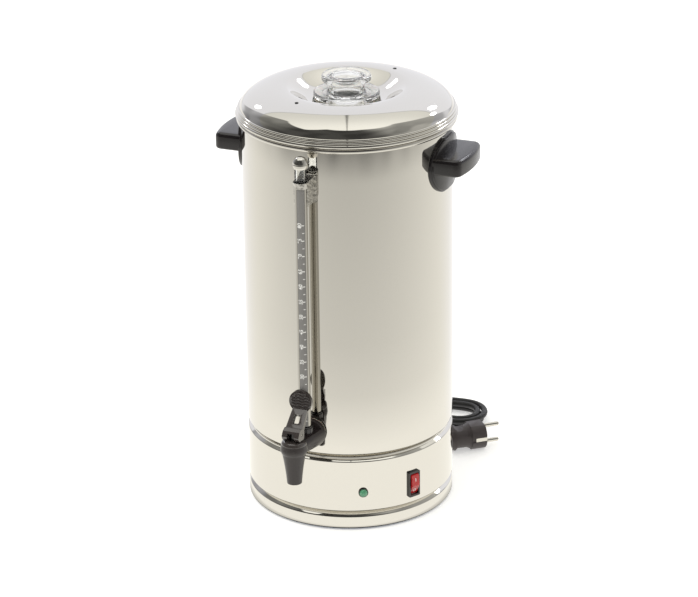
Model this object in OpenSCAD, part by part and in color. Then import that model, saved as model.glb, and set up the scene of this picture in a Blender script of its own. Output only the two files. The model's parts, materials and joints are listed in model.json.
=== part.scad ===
// Percolating coffee urn with a pull tap, a sight gauge and a glass-topped lid.
// Millimetres, +Z up, origin on the urn's axis at the surface that it stands on.
// The tap faces -Y, and the carrying handles lie on the X axis.

/* [Body] */
// Outer radius of the tank and of the base
tank_r = 110; // [95:1:130]
// Thickness of the tank and base sheet
wall = 1; // [0.8:0.1:1.5]
// Height where the tank's wall turns into its rolled lower edge
tank_z = 90.5; // [85:0.5:110]
// Height of the centre of the rolled tank rim
rim_z = 425.8; // [350:0.1:520]
// Radius of the rolled bead on the tank rim
rim_bead = 2.6; // [1.5:0.1:3.5]
// Radius of the rolled lower edge of the tank
tank_edge = 4.5; // [2:0.1:5]
// Radius of the pump well in the tank floor
well_r = 27; // [24:0.5:34]
// Depth of the pump well below the tank floor
well_depth = 10; // [8:0.5:14]

/* [Base] */
// Radius of the shoulder at the top of the skirt
skirt_shoulder = 7.5; // [3:0.1:9]
// Height of the lower edge of the skirt
skirt_z = 21.4; // [17:0.1:26]
// Radius of the rolled lower edge of the skirt
skirt_edge = 2.3; // [1.5:0.1:3]
// Radius of the shoulder of the bottom pan
pan_shoulder = 9; // [3:0.1:10]
// Height of the underside of the bottom pan
pan_z = 2.5; // [2:0.1:4]
// Radius of the rounded lower edge of the bottom pan
pan_edge = 3; // [2:0.1:4]
// Radius of a rubber foot
foot_r = 9; // [6:0.5:12]
// Distance of the feet from the edge of the base
foot_inset = 22; // [16:1:40]

/* [Lid] */
// Half the span of the lid's elliptical shoulder
lid_span = 44.1; // [35:0.1:48]
// Rise of the lid's shoulder
lid_rise = 23.6; // [15:0.1:30]
// Thickness of the lid sheet
lid_wall = 0.9; // [0.7:0.1:1.5]
// Radius of the pressed seat in the middle of the lid
seat_r = 42; // [38:0.5:50]
// Depth of the pressed seat below the lid's crest
seat_depth = 11.6; // [4:0.1:14]
// Width of the slope between the seat and the crest
seat_slope = 18; // [12:0.5:22]
// Radius of a vent hole in the lid
vent_r = 1.5; // [1:0.1:2.5]
// Distance of the vent holes from the axis
vent_pitch_r = 74; // [68:1:85]

/* [Knob] */
// Radius of the knob's lower flange
knob_flange_r = 34.5; // [30:0.5:40]
// Radius of the knob's button
knob_r = 26; // [18:0.5:30]
// Radius of the knob's neck
knob_neck_r = 18; // [13:0.5:20]
// Height of the knob above its gasket
knob_h = 23; // [16:0.1:28]
// Wall of the hollow knob
knob_wall = 3; // [2:0.1:4]

/* [Tap] */
// Distance of the tap's vertical axis from the tank's wall
tap_standoff = 50; // [46:0.5:60]
// Height of the tap's shank above the tank's floor
tap_rise = 19; // [18:0.5:30]
// Depth of the spout's outlet below the shank
spout_drop = 36; // [28:0.5:44]
// Outer radius of the spout at its outlet
spout_tip_r = 7.8; // [6.5:0.1:9]
// Radius of the valve chamber's outside
chamber_r = 14.2; // [13:0.1:16]
// Radius of the valve chamber's bore
chamber_bore_r = 10.2; // [9:0.1:11]
// Radius of the spout's bore
spout_bore_r = 5.2; // [3.5:0.1:5.5]
// Radius of the threaded shank
shank_r = 8; // [7:0.1:9]
// Radius of the valve stem
stem_r = 3.5; // [2.5:0.1:4]
// Height of the lever's pin above the shank
pin_rise = 19; // [18:0.5:23]
// Lift of the valve at a full pull of the lever
valve_lift = 3.5; // [2.5:0.1:4.5]
// Turn of the lever at a full pull, in degrees
lever_turn = 75; // [60:1:85]
// Width of the lever
lever_w = 18.6; // [15:0.1:20]
// Radius of the lever's thumb plate
thumb_r = 12.3; // [10:0.1:14]

/* [Gauge] */
// Distance of the sight tube's axis from the tank's wall
gauge_standoff = 19; // [17.5:0.5:22]
// Outer radius of the sight tube
tube_r = 6.2; // [5:0.1:7]
// Wall of the sight tube
tube_wall = 1.8; // [1:0.1:2.5]
// Depth of the top of the sight tube below the tank rim
tube_drop = 12.8; // [12:0.1:40]
// Depth of the middle of the tube's clip below the tank rim
clip_drop = 36.8; // [34:0.1:60]
// Height of the clip band
clip_h = 16; // [10:0.5:20]

/* [Handles] */
// Reach of a handle from the tank's wall
handle_standoff = 30; // [24:1:38]
// Length of a handle's grip
grip_len = 70; // [50:1:84]
// Depth of the grip's underside below the tank rim
grip_drop = 41.8; // [38:0.1:60]
// Height of the grip
grip_h = 18; // [14:0.5:22]
// Radius of the grip's edges
grip_edge = 4; // [2:0.5:6]
// Thickness of the shield between the grip and the tank
shield_t = 4.2; // [3:0.1:6]

/* [Switch and lamp] */
// Angle from the tap to the switch
switch_az = 58.2; // [45:0.1:80]
// Height of the middle of the switch and of the lamp
panel_z = 43.8; // [40:0.1:60]
// Width of the switch bezel
switch_w = 14.2; // [14:0.1:18]
// Height of the switch bezel
switch_h = 29; // [26:0.5:34]
// Full turn of the rocker, in degrees
rocker_turn = 20; // [14:1:24]
// Angle from the tap to the pilot lamp
lamp_az = 28.1; // [22:0.1:35]
// Radius of the pilot lamp's lens
lamp_r = 4.2; // [3:0.1:6]

/* [Percolator] */
// Outer radius of the pump tube
pump_r = 6; // [5:0.1:7]
// Gap between the coffee basket and the tank
basket_gap = 17; // [14:1:30]
// Depth of the coffee basket's rim below the tank rim
basket_drop = 15.8; // [14:0.1:40]
// Height of the coffee basket
basket_h = 54; // [40:1:90]

/* [Cord] */
// Radius of the mains cord
cord_r = 3.4; // [3:0.1:3.6]
// Angle from the tap to the cord's gland
gland_az = 201.5; // [195:0.1:205]
// Height of the cord's gland
gland_z = 35; // [33:0.5:37]

/* [Hidden] */
$fn = 96;
// Gap between pieces that are fixed to each other
seat_gap = 0.15;
// Gap between pieces that move on each other
move_gap = 0.4;
// Radial clearance of a pin in its hole
pin_gap = 0.05;
// Overshoot of a cut past the face that it opens
cut = 1;

steel = [0.80, 0.79, 0.76];
dull_steel = [0.62, 0.62, 0.60];
black_plastic = [0.10, 0.10, 0.10];
clear_glass = [0.85, 0.90, 0.90, 0.45];
silicone = [0.88, 0.86, 0.82];

// The tank, the skirt and the pan meet at flanges that turn inward
joint_gap = 0.4;
joint_in = tank_r - 10;
tank_low = tank_z - tank_edge;
skirt_top = tank_low - joint_gap - skirt_shoulder;
pan_top = skirt_z - joint_gap - pan_shoulder;
tank_inner = tank_r - wall;
floor_z = tank_z + 2.5;
tap_reach = tank_r + tap_standoff;
gauge_reach = tank_r + gauge_standoff;
handle_reach = tank_r + handle_standoff;
foot_pitch_r = tank_r - foot_inset;
basket_r = tank_inner - basket_gap;
well_z = floor_z - well_depth;
floor_flange = 4.5;
tap_z = floor_z + tap_rise;
spout_z = tap_z - spout_drop;
tube_top = rim_z - tube_drop;
clip_z = rim_z - clip_drop;
grip_z = rim_z - grip_drop;

post_r = 4;
post_pitch_r = tank_r - 38;
post_count = 3;
screw_r = 2;
foot_count = 4;
foot_stem_r = 3;

rim_top = rim_z + rim_bead;
lid_bead = 2.1;
lid_bead_z = rim_top + 0.3 + lid_bead;
lid_side_r = tank_r + 2.1;
lid_spring_z = lid_bead_z + 3.8;
lid_crest_r = lid_side_r - lid_span;
lid_crest_z = lid_spring_z + lid_rise;
seat_z = lid_crest_z - seat_depth;
knob_hole_r = knob_neck_r + 2.2;
gasket_t = 1;
knob_z = seat_z + gasket_t + 2 * seat_gap;
lug_reach = 3.8;
lug_h = 3.1;
collar_low = seat_z - lid_wall - 0.5 - lug_h;
pump_top = seat_z - 20;
basket_top = rim_z - basket_drop;
basket_z = basket_top - basket_h;

bonnet_top = tap_z + 12.5;
pin_z = tap_z + pin_rise;
cam_base = pin_z - bonnet_top - 0.3;
cam_rate = valve_lift / (lever_turn * PI / 180);
lever_pin_r = 1.5;
chamber_top = tap_z + 7.8;
seat_level = tap_z - 7;
neck_low = tap_z + 4;
socket_r = tube_r + 2.4;
socket_top = tap_z + 9;
nut_top = socket_top + 6.4;
shank_end = tank_r - 14;
flange_r = 16;
flange_t = 4;
washer_t = 1.2;
inner_washer_r = 14;
washer_face = sqrt(tank_inner * tank_inner - inner_washer_r * inner_washer_r) - 0.05;

clip_wall = 1.2;
clip_band = 6;

screw_az = 8;
handle_screw_z = grip_z + grip_h / 2 + 2;
handle_screw_r = 2.5;

rocker_r = 11.75;
rocker_w = switch_w - 4.6;
rocker_pivot = tank_r - 1.5;
body_w = switch_w - 1.4;
body_h = switch_h - 2.4;

collar_h = 3;
sleeve_r = pump_r + move_gap + 1.2;
basket_wall = 0.8;

// Cord route, laid out for a base of this radius and moved back with a larger one
drawn_r = 110;
cord_back = [0, 1.2 * (tank_r - drawn_r), 0];
hank_x = -9;
hank_y = 199.1 + cord_back[1];
hank_run = 130;
hank_inner_r = 18.4;
hank_step = 7.8;
hank_dip = 9;
hank_lift = 1.2;
hank_layer = 7.4;
hank_loops = 3;
hank_rings = 24;
hank_outer_r = hank_inner_r + hank_step * hank_loops / 2;
waist_y = hank_y - hank_outer_r + hank_dip;
low_z = cord_r + hank_lift;
high_z = low_z + hank_layer;
splay = 12;
end_step = 2 * cord_r;
hank_start = [hank_x - end_step * cos(splay), waist_y - end_step * sin(splay), high_z];
hank_end = [hank_x + end_step * cos(splay), waist_y - end_step * sin(splay), low_z];
gland_reach = tank_r + 30;
gland_dir = [sin(gland_az), -cos(gland_az), 0];
gland_tip = gland_dir * gland_reach + [0, 0, gland_z];
butt = 0.05;
lead_in = hank_start - end_step * [cos(splay), sin(splay), 0];
lead_middle = [
  [-57, 145.5, gland_z - 2.5],
  [-57, 154.5, 28],
  [-51, 164, 23.5],
  [-41, 170.2, 19],
  [-30, 173.4, 14.6]
];
plug_face = [101.8, 143, 15] + cord_back;
plug_angle = 40;
plug_axis = [cos(plug_angle), sin(plug_angle), 0];
plug_side = [-sin(plug_angle), cos(plug_angle), 0];
plug_outlet = 28;
plug_relief = 37;
outlet_drop = 3;
tail_end = plug_face - plug_axis * plug_outlet + plug_side * plug_relief - [0, 0, outlet_drop];
tail_out = hank_end + end_step * [cos(splay), -sin(splay), 0];
tail_middle = [
  [13, 172.9, 4.1],
  [27, 168.4, cord_r],
  [39, 164, 4.5],
  [47.6, 160.4, 8.4]
];

// Turns its children so that their -Y side faces out of the wall at an angle from the tap
module at_wall(az, z) {
  rotate([0, 0, az]) translate([0, 0, z]) children();
}

// Rod along -Y between two distances from the axis
module radial_rod(r, from_r, to_r) {
  translate([0, -from_r, 0]) rotate([90, 0, 0]) cylinder(r = r, h = to_r - from_r);
}

// Rod along -Y that tapers between two distances from the axis
module radial_cone(r_in, r_out, from_r, to_r) {
  translate([0, -from_r, 0]) rotate([90, 0, 0]) cylinder(r1 = r_in, r2 = r_out, h = to_r - from_r);
}

// Flat ring standing on a height
module ring(r_out, r_in, z, h) {
  translate([0, 0, z]) difference() {
    cylinder(r = r_out, h = h);
    translate([0, 0, -cut]) cylinder(r = r_in, h = h + 2 * cut);
  }
}

// Section of a sheet that is rolled through a quarter circle, in the quadrant of the two signs
module rolled_corner(center, r, t, side_x, side_y) {
  translate(center) intersection() {
    difference() {
      circle(r = r);
      circle(r = r - t);
    }
    translate([side_x > 0 ? 0 : -r, side_y > 0 ? 0 : -r]) square(r);
  }
}

// Rectangle between two corners
module box2d(low, high) {
  translate(low) square(high - low);
}

// Rectangle with round corners, centred on the origin
module round_rect(size, r) {
  square([size[0] - 2 * r, size[1]], center = true);
  square([size[0], size[1] - 2 * r], center = true);
  for (sx = [-1, 1], sy = [-1, 1])
    translate([sx * (size[0] / 2 - r), sy * (size[1] / 2 - r)]) circle(r = r);
}

// Tube along a list of points, with its end faces square to its end stretches
function unit(v) = v / norm(v);
function heading(p, i) =
  i == 0 ? unit(p[1] - p[0]) : i == len(p) - 1 ? unit(p[i] - p[i - 1]) : unit(p[i + 1] - p[i - 1]);
function ring_at(p, i, r, sides) =
  let (t = heading(p, i), s = unit(cross(t, [0, 0, 1])), u = cross(s, t))
  [for (k = [0:sides - 1]) let (a = 360 * (k + 0.5) / sides) p[i] + r * (cos(a) * s + sin(a) * u)];
module swept_tube(p, r, sides) {
  last = len(p) - 1;
  corners = [for (i = [0:last]) each ring_at(p, i, r, sides)];
  walls = [for (i = [0:last - 1], k = [0:sides - 1])
    let (a = i * sides + k, b = i * sides + (k + 1) % sides)
    each [[a, b, b + sides], [a, b + sides, a + sides]]];
  start = [for (k = [1:sides - 2]) [0, k + 1, k]];
  end = [for (k = [1:sides - 2]) [last * sides, last * sides + k, last * sides + k + 1]];
  polyhedron(points = corners, faces = concat(walls, start, end));
}

// Smooth curve through the points of a route
function curve_point(a, b, c, d, t) =
  0.5 * (2 * b + (c - a) * t + (2 * a - 5 * b + 4 * c - d) * t * t + (3 * b - a - 3 * c + d) * t * t * t);
function smooth_route(p, steps) =
  let (n = len(p) - 1)
  concat([for (i = [0:n - 1], k = [0:steps - 1])
    curve_point(p[max(i - 1, 0)], p[i], p[i + 1], p[min(i + 2, n)], k / steps)], [p[n]]);

// One point of the hank after t loops: out along one run, round a fold, back and round the other fold
function hank_half_width(t) = hank_inner_r + hank_step * abs(t - hank_loops / 2);
function waist(x) = (1 + cos(360 * x / hank_run)) / 2;
function ease(s) = s * s * (3 - 2 * s);
function hank_point(t) =
  let (
    r = hank_half_width(t),
    fold = PI * (hank_inner_r + hank_outer_r) / 2,
    whole = 2 * (hank_run + fold),
    s = (t - floor(t)) * whole,
    near = s < hank_run / 2 ? s : s - whole,
    first = s - hank_run / 2,
    back = first - fold,
    second = back - hank_run,
    x = hank_run / 2 - back,
    middle = hank_loops / 2,
    lower = abs(t - middle) > 0.25 ? (t < middle ? 0 : 1) : ease(min(max(back / hank_run, 0), 1)),
    z = cord_r + hank_layer * (1 - lower)
  )
  abs(near) <= hank_run / 2
    ? [hank_x + near, hank_y - r + hank_dip * waist(near), z + hank_lift * waist(near)]
  : first < fold
    ? let (a = 180 * first / fold - 90) [hank_x + hank_run / 2 + r * cos(a), hank_y + r * sin(a), z]
  : second < 0
    ? [hank_x + x, hank_y + r - hank_dip * waist(x), z + hank_lift * waist(x)]
  : let (a = 180 * second / fold + 90) [hank_x - hank_run / 2 + r * cos(a), hank_y + r * sin(a), z];
hank_route = concat(
  [hank_start],
  [for (i = [0:hank_loops * hank_rings]) hank_point(i / hank_rings)],
  [hank_end]
);
lead_route = concat(
  [gland_tip + gland_dir * butt],
  smooth_route(concat([gland_tip + gland_dir * 7], [for (p = lead_middle) p + cord_back], [lead_in]), 3),
  [hank_start - butt * [cos(splay), sin(splay), 0]]
);
tail_route = concat(
  [hank_end + butt * [cos(splay), -sin(splay), 0]],
  smooth_route(concat([tail_out], [for (p = tail_middle) p + cord_back], [tail_end + plug_side * 6]), 3),
  [tail_end + plug_side * butt]
);
// Least gap between stretches of the hank that lie more than a third of a loop apart
hank_samples = [for (i = [0:hank_loops * 72]) hank_point(i / 72)];
hank_gap = min([for (i = [0:len(hank_samples) - 1], j = [i + 24:1:len(hank_samples) - 1])
  norm(hank_samples[i] - hank_samples[j])]) - 2 * cord_r;
echo(hank_gap = hank_gap);

// Body of the urn

module tank_profile() {
  rolled_corner([tank_r - tank_edge, tank_z], tank_edge, wall, 1, -1);
  box2d([tank_inner, tank_z], [tank_r, rim_z + rim_bead / 2]);
  box2d([joint_in, tank_low], [tank_r - tank_edge, tank_low + wall]);
  translate([tank_r + rim_bead - 0.4, rim_z]) circle(r = rim_bead);
}

module tank_shell() {
  color(steel) difference() {
    rotate_extrude() tank_profile();
    translate([0, 0, tap_z]) radial_rod(shank_r + move_gap, joint_in, tank_r + cut);
    translate([0, 0, clip_z - 12]) radial_rod(screw_r + pin_gap, joint_in, tank_r + cut);
    for (side = [90, 270], turn = [-screw_az, screw_az])
      at_wall(side + turn, handle_screw_z) radial_rod(handle_screw_r + seat_gap, joint_in, tank_r + cut);
  }
}

module tank_floor() {
  flange_out = tank_inner - seat_gap;
  color(dull_steel) rotate_extrude() {
    box2d([well_r - wall, floor_z - wall], [flange_out, floor_z]);
    box2d([flange_out - wall, floor_z - wall], [flange_out, floor_z + floor_flange]);
    box2d([well_r - wall, well_z - wall], [well_r, floor_z]);
    box2d([0, well_z - wall], [well_r, well_z]);
  }
}

module base_skirt() {
  color(steel) difference() {
    rotate_extrude() {
      box2d([joint_in, skirt_top + skirt_shoulder - wall], [tank_r - skirt_shoulder, skirt_top + skirt_shoulder]);
      rolled_corner([tank_r - skirt_shoulder, skirt_top], skirt_shoulder, wall, 1, 1);
      box2d([tank_inner, skirt_z + skirt_edge], [tank_r, skirt_top]);
      rolled_corner([tank_r - skirt_edge, skirt_z + skirt_edge], skirt_edge, wall, 1, -1);
      box2d([joint_in - 2, skirt_z], [tank_r - skirt_edge, skirt_z + wall]);
    }
    at_wall(switch_az, panel_z) translate([0, -tank_r, 0])
      cube([body_w + 0.4, 4 * wall, body_h + 0.4], center = true);
    at_wall(lamp_az, panel_z) radial_rod(lamp_r - 0.4, joint_in, tank_r + cut);
    at_wall(gland_az, gland_z) radial_rod(6.4, joint_in, tank_r + cut);
  }
}

module bottom_pan() {
  color(steel) difference() {
    rotate_extrude() {
      box2d([0, pan_z], [tank_r - pan_edge, pan_z + wall]);
      rolled_corner([tank_r - pan_edge, pan_z + pan_edge], pan_edge, wall, 1, -1);
      box2d([tank_inner, pan_z + pan_edge], [tank_r, pan_top]);
      rolled_corner([tank_r - pan_shoulder, pan_top], pan_shoulder, wall, 1, 1);
      box2d([joint_in - 2, pan_top + pan_shoulder - wall], [tank_r - pan_shoulder, pan_top + pan_shoulder]);
    }
    for (i = [0:foot_count - 1])
      at_wall(45 + i * 360 / foot_count, pan_z - cut) translate([0, -foot_pitch_r, 0])
        cylinder(r = foot_stem_r + seat_gap, h = wall + 2 * cut);
    for (i = [0:post_count - 1])
      at_wall(i * 360 / post_count, pan_z - cut) translate([0, -post_pitch_r, 0])
        cylinder(r = screw_r + seat_gap, h = wall + 2 * cut);
  }
}

module rubber_feet() {
  head_r = foot_stem_r + 2;
  color([0.12, 0.12, 0.12]) for (i = [0:foot_count - 1])
    at_wall(45 + i * 360 / foot_count, 0) translate([0, -foot_pitch_r, 0]) {
      cylinder(r1 = foot_r - 1, r2 = foot_r, h = 1);
      translate([0, 0, 1]) cylinder(r = foot_r, h = pan_z - seat_gap - 1);
      cylinder(r = foot_stem_r, h = pan_z + wall + seat_gap + 1);
      translate([0, 0, pan_z + wall + seat_gap]) cylinder(r1 = head_r, r2 = foot_stem_r, h = 4);
    }
}

module base_posts() {
  color(dull_steel) for (i = [0:post_count - 1])
    at_wall(i * 360 / post_count, pan_z + wall + seat_gap) translate([0, -post_pitch_r, 0]) difference() {
      cylinder(r = post_r, h = floor_z - pan_z - 2 * wall - 2 * seat_gap);
      translate([0, 0, -cut]) cylinder(r = screw_r + pin_gap, h = 14);
    }
}

module base_screws() {
  head_h = 1.5;
  color(dull_steel) for (i = [0:post_count - 1])
    at_wall(i * 360 / post_count, pan_z - seat_gap) translate([0, -post_pitch_r, 0]) difference() {
      union() {
        translate([0, 0, -head_h]) cylinder(r = 2 * screw_r, h = head_h);
        cylinder(r = screw_r, h = 12);
      }
      translate([0, 0, -head_h]) cube([3 * screw_r, 0.8, 1], center = true);
    }
}

// Heating parts under the tank floor

heater_plate_t = 3;
heater_r = 45;
heater_tube_r = 4;

module heater_plate() {
  color([0.75, 0.75, 0.76])
    ring(heater_r + 15, well_r + 1, floor_z - wall - seat_gap - heater_plate_t, heater_plate_t);
}

module main_heater() {
  ring_z = floor_z - wall - 2 * seat_gap - heater_plate_t - heater_tube_r;
  gap_angle = 30;
  color([0.35, 0.33, 0.31]) {
    translate([0, 0, ring_z]) rotate([0, 0, gap_angle / 2 - 1])
      rotate_extrude(angle = 362 - gap_angle) translate([heater_r, 0]) circle(r = heater_tube_r);
    for (side = [-1, 1]) rotate([0, 0, side * gap_angle / 2]) translate([heater_r, 0, ring_z - 18]) {
      cylinder(r = heater_tube_r - 0.4, h = 18);
      translate([0, 0, -9]) cylinder(r = 1.6, h = 10);
    }
  }
}

module keep_warm_heater() {
  tube_r = 3.2;
  ring_r = heater_r - 11;
  ring_z = floor_z - wall - 2 * seat_gap - heater_plate_t - tube_r;
  gap_angle = 40;
  color([0.35, 0.33, 0.31]) rotate([0, 0, 180]) {
    translate([0, 0, ring_z]) rotate([0, 0, gap_angle / 2 - 1])
      rotate_extrude(angle = 362 - gap_angle) translate([ring_r, 0]) circle(r = tube_r);
    for (side = [-1, 1]) rotate([0, 0, side * gap_angle / 2]) translate([ring_r, 0, ring_z - 18]) {
      cylinder(r = tube_r - 0.4, h = 18);
      translate([0, 0, -9]) cylinder(r = 1.4, h = 10);
    }
  }
}

// Bimetal disc switch with a flange against the well and two blade terminals
module snap_switch(r, h) {
  flange_t = 1.2;
  mirror([0, 0, 1]) {
    cylinder(r = r, h = flange_t);
    cylinder(r = r - 2, h = h);
    for (side = [-1, 1]) translate([side * (r - 5) - 0.4, -3, h]) cube([0.8, 6, 8]);
  }
}

module thermostat() {
  color([0.20, 0.18, 0.16]) translate([-12, 0, well_z - wall - seat_gap]) snap_switch(11, 11);
}

module thermal_cutout() {
  color([0.84, 0.80, 0.70]) translate([13, 0, well_z - wall - seat_gap]) difference() {
    snap_switch(9, 9);
    translate([0, 0, -10]) cylinder(r = 1.5, h = 3);
  }
}

module terminal_block() {
  size = [40, 18, 16];
  color([0.92, 0.90, 0.84]) translate([0, 38, pan_z + wall + seat_gap]) difference() {
    translate([-size[0] / 2, -size[1] / 2, 0]) cube(size);
    for (i = [-1:1]) {
      translate([i * 12, -size[1], size[2] / 2]) rotate([-90, 0, 0]) cylinder(r = 2.4, h = 2 * size[1]);
      translate([i * 12, 0, size[2] / 2]) cylinder(r = 2.2, h = size[2]);
    }
    for (i = [-1, 1]) translate([i * 6, 0, size[2]]) cube([1.2, 2 * size[1], 5], center = true);
  }
}

// Switch and lamp in the skirt

module switch_housing() {
  bezel_t = 2.4;
  depth = 22;
  color(black_plastic) at_wall(switch_az, panel_z) difference() {
    union() {
      translate([0, -tank_r - seat_gap, 0]) rotate([90, 0, 0]) linear_extrude(bezel_t)
        round_rect([switch_w, switch_h], 1.2);
      translate([0, depth / 2 - tank_r - seat_gap - 0.1, 0]) cube([body_w, depth, body_h], center = true);
      for (side = [-1, 1]) translate([-0.4, depth - tank_r - 1, side * 7 - 3]) cube([0.8, 9, 6]);
    }
    translate([0, -rocker_pivot, 0]) rotate([0, 90, 0])
      cylinder(r = rocker_r + move_gap, h = rocker_w + 2 * move_gap, center = true);
    translate([0, -tank_r - 5, 0])
      cube([rocker_w + 2 * move_gap, 10, 2 * (rocker_r + move_gap)], center = true);
    translate([0, -rocker_pivot, 0]) rotate([0, 90, 0])
      cylinder(r = 1.2 + pin_gap, h = rocker_w + 2.4, center = true);
  }
}

module switch_rocker() {
  ridge = 6.6;
  ends = 3.4;
  heel = 4;
  color([0.78, 0.08, 0.06]) at_wall(switch_az, panel_z) translate([0, -rocker_pivot, 0])
    rotate([rocker_turn / 2, 0, 0]) {
      intersection() {
        rotate([0, 90, 0]) cylinder(r = rocker_r, h = rocker_w, center = true);
        rotate([90, 0, 90]) linear_extrude(rocker_w, center = true)
          polygon([[heel, -rocker_r], [heel, rocker_r], [-ends, rocker_r],
                   [-ridge, 0], [-ends, -rocker_r]]);
      }
      rotate([0, 90, 0]) cylinder(r = 1.2, h = rocker_w + 1.8, center = true);
    }
}

module pilot_holder() {
  color(black_plastic) at_wall(lamp_az, panel_z) difference() {
    union() {
      radial_rod(lamp_r + 1, tank_r + seat_gap, tank_r + seat_gap + 1.4);
      radial_rod(lamp_r - 0.6, tank_r - 20, tank_r + 1);
      radial_rod(lamp_r + 1.5, tank_r - 6, tank_r - wall - 0.3);
    }
    radial_rod(lamp_r - 1.4, tank_r - 16, tank_r + 5);
  }
}

module pilot_lens() {
  color([0.10, 0.55, 0.22]) at_wall(lamp_az, panel_z) {
    radial_rod(lamp_r - 1.6, tank_r - 10, tank_r + 2);
    radial_rod(lamp_r, tank_r + seat_gap + 1.5, tank_r + 2.6);
    translate([0, -tank_r - 2.6, 0]) intersection() {
      translate([0, 2.2, 0]) sphere(r = norm([lamp_r, 2.2]));
      radial_rod(lamp_r, 0, lamp_r);
    }
  }
}

// Handles

// Oval plate that wraps round the wall, with a lip that is narrower than its foot
module shield(inset, from_r, to_r) {
  size = [grip_len + 4, 59] - [2 * inset, 2 * inset];
  middle = grip_z + 4.5;
  intersection() {
    ring(to_r, from_r, grip_z - 40, grip_h + 70);
    rotate([90, 0, 90]) linear_extrude(2 * tank_r) translate([0, middle]) round_rect(size, size[1] / 2 - 0.5);
  }
}

module grip_block() {
  bow = 5;
  bow_r = (grip_len * grip_len / 4 + bow * bow) / (2 * bow);
  inner = tank_r - 8;
  intersection() {
    translate([(inner + handle_reach) / 2, 0, grip_z + grip_h / 2]) rotate([90, 0, 0])
      linear_extrude(grip_len + 2 * cut, center = true) round_rect([handle_reach - inner, grip_h], grip_edge);
    translate([0, 0, grip_z - cut]) linear_extrude(grip_h + 2 * cut) intersection() {
      translate([(inner + handle_reach) / 2, 0]) round_rect([handle_reach - inner, grip_len], 8);
      translate([handle_reach - bow_r, 0]) circle(r = bow_r);
    }
  }
}

module handle() {
  wall_face = tank_r + seat_gap;
  recess = [handle_reach - tank_r - 14, grip_len - 16, grip_h - 6.5];
  color(black_plastic) difference() {
    union() {
      shield(0, wall_face - cut, wall_face + shield_t / 2);
      shield(1.5, wall_face - cut, wall_face + shield_t);
      grip_block();
    }
    translate([0, 0, grip_z - 50]) cylinder(r = wall_face, h = 100);
    translate([tank_r + 8, -recess[1] / 2, grip_z - cut]) cube(recess + [0, 0, cut]);
    for (turn = [-screw_az, screw_az])
      at_wall(90 + turn, handle_screw_z)
        radial_rod(handle_screw_r + pin_gap, tank_r - cut, tank_r + 7);
  }
}

module right_handle() {
  handle();
}

module left_handle() {
  mirror([1, 0, 0]) handle();
}

module handle_screws() {
  washer_in = tank_inner - seat_gap - 0.2;
  color(dull_steel) for (side = [90, 270], turn = [-screw_az, screw_az])
    at_wall(side + turn, handle_screw_z) difference() {
      union() {
        radial_rod(handle_screw_r, washer_in - washer_t - 2, tank_r + 6.6);
        radial_cone(3.2, 4.8, washer_in - washer_t - 3, washer_in - washer_t - seat_gap);
      }
      translate([0, -washer_in + washer_t + 3, 0]) cube([1, 2, 8], center = true);
    }
}

module handle_washers() {
  washer_in = tank_inner - seat_gap - 0.2;
  color(silicone) for (side = [90, 270], turn = [-screw_az, screw_az])
    at_wall(side + turn, handle_screw_z) difference() {
      radial_rod(6, washer_in - washer_t, washer_in);
      radial_rod(handle_screw_r + pin_gap, washer_in - washer_t - cut, washer_in + cut);
    }
}

// Lid and knob

function shoulder_arc(offset) =
  [for (a = [0:5:90])
    [lid_crest_r + (lid_span - offset) * cos(a), lid_spring_z + (lid_rise - offset) * sin(a)]];

module lid_profile() {
  slope = [[seat_r + seat_slope, lid_crest_z - 0.2], [seat_r + 0.78 * seat_slope, seat_z + 0.8 * seat_depth],
           [seat_r + 0.22 * seat_slope, seat_z + 0.12 * seat_depth], [seat_r, seat_z], [0, seat_z]];
  under = [for (i = [4:-1:0]) slope[i] + [i < 4 ? 0.3 : 0, -lid_wall]];
  polygon(concat(shoulder_arc(0), slope, under, [for (i = [18:-1:0]) shoulder_arc(lid_wall)[i]]));
  box2d([lid_side_r - lid_wall, lid_bead_z], [lid_side_r, lid_spring_z + 0.01]);
  translate([lid_side_r + 1.8, lid_bead_z]) circle(r = lid_bead);
  translate([lid_side_r + 0.9, lid_bead_z + 3.4]) circle(r = 1.5);
  translate([lid_side_r - 0.1, lid_bead_z + 6.2]) circle(r = 1.4);
}

module lid_shell() {
  color(steel) difference() {
    rotate_extrude() lid_profile();
    translate([0, 0, seat_z - 2 * lid_wall]) cylinder(r = knob_hole_r, h = 4 * lid_wall);
    for (side = [0, 180]) rotate([0, 0, side]) translate([0, 0, seat_z])
      cube([2 * (knob_hole_r + lug_reach + 1), 9, 4 * lid_wall], center = true);
    for (side = [-22, 158]) rotate([0, 0, side]) translate([0, -vent_pitch_r, lid_crest_z - 8])
      cylinder(r = vent_r, h = 12);
  }
}

module lid_ring() {
  ring_out = tank_inner - 0.7;
  top = lid_bead_z - 1.1;
  color(dull_steel) rotate_extrude() {
    box2d([ring_out - lid_wall, rim_z - 9.8], [ring_out, top]);
    box2d([ring_out - lid_wall, top - 0.8], [lid_side_r - lid_wall - seat_gap, top]);
  }
}

module knob_gasket() {
  color(silicone) ring(knob_flange_r - 1.5, knob_hole_r + lug_reach + 1.4, seat_z + seat_gap, gasket_t);
}

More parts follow.
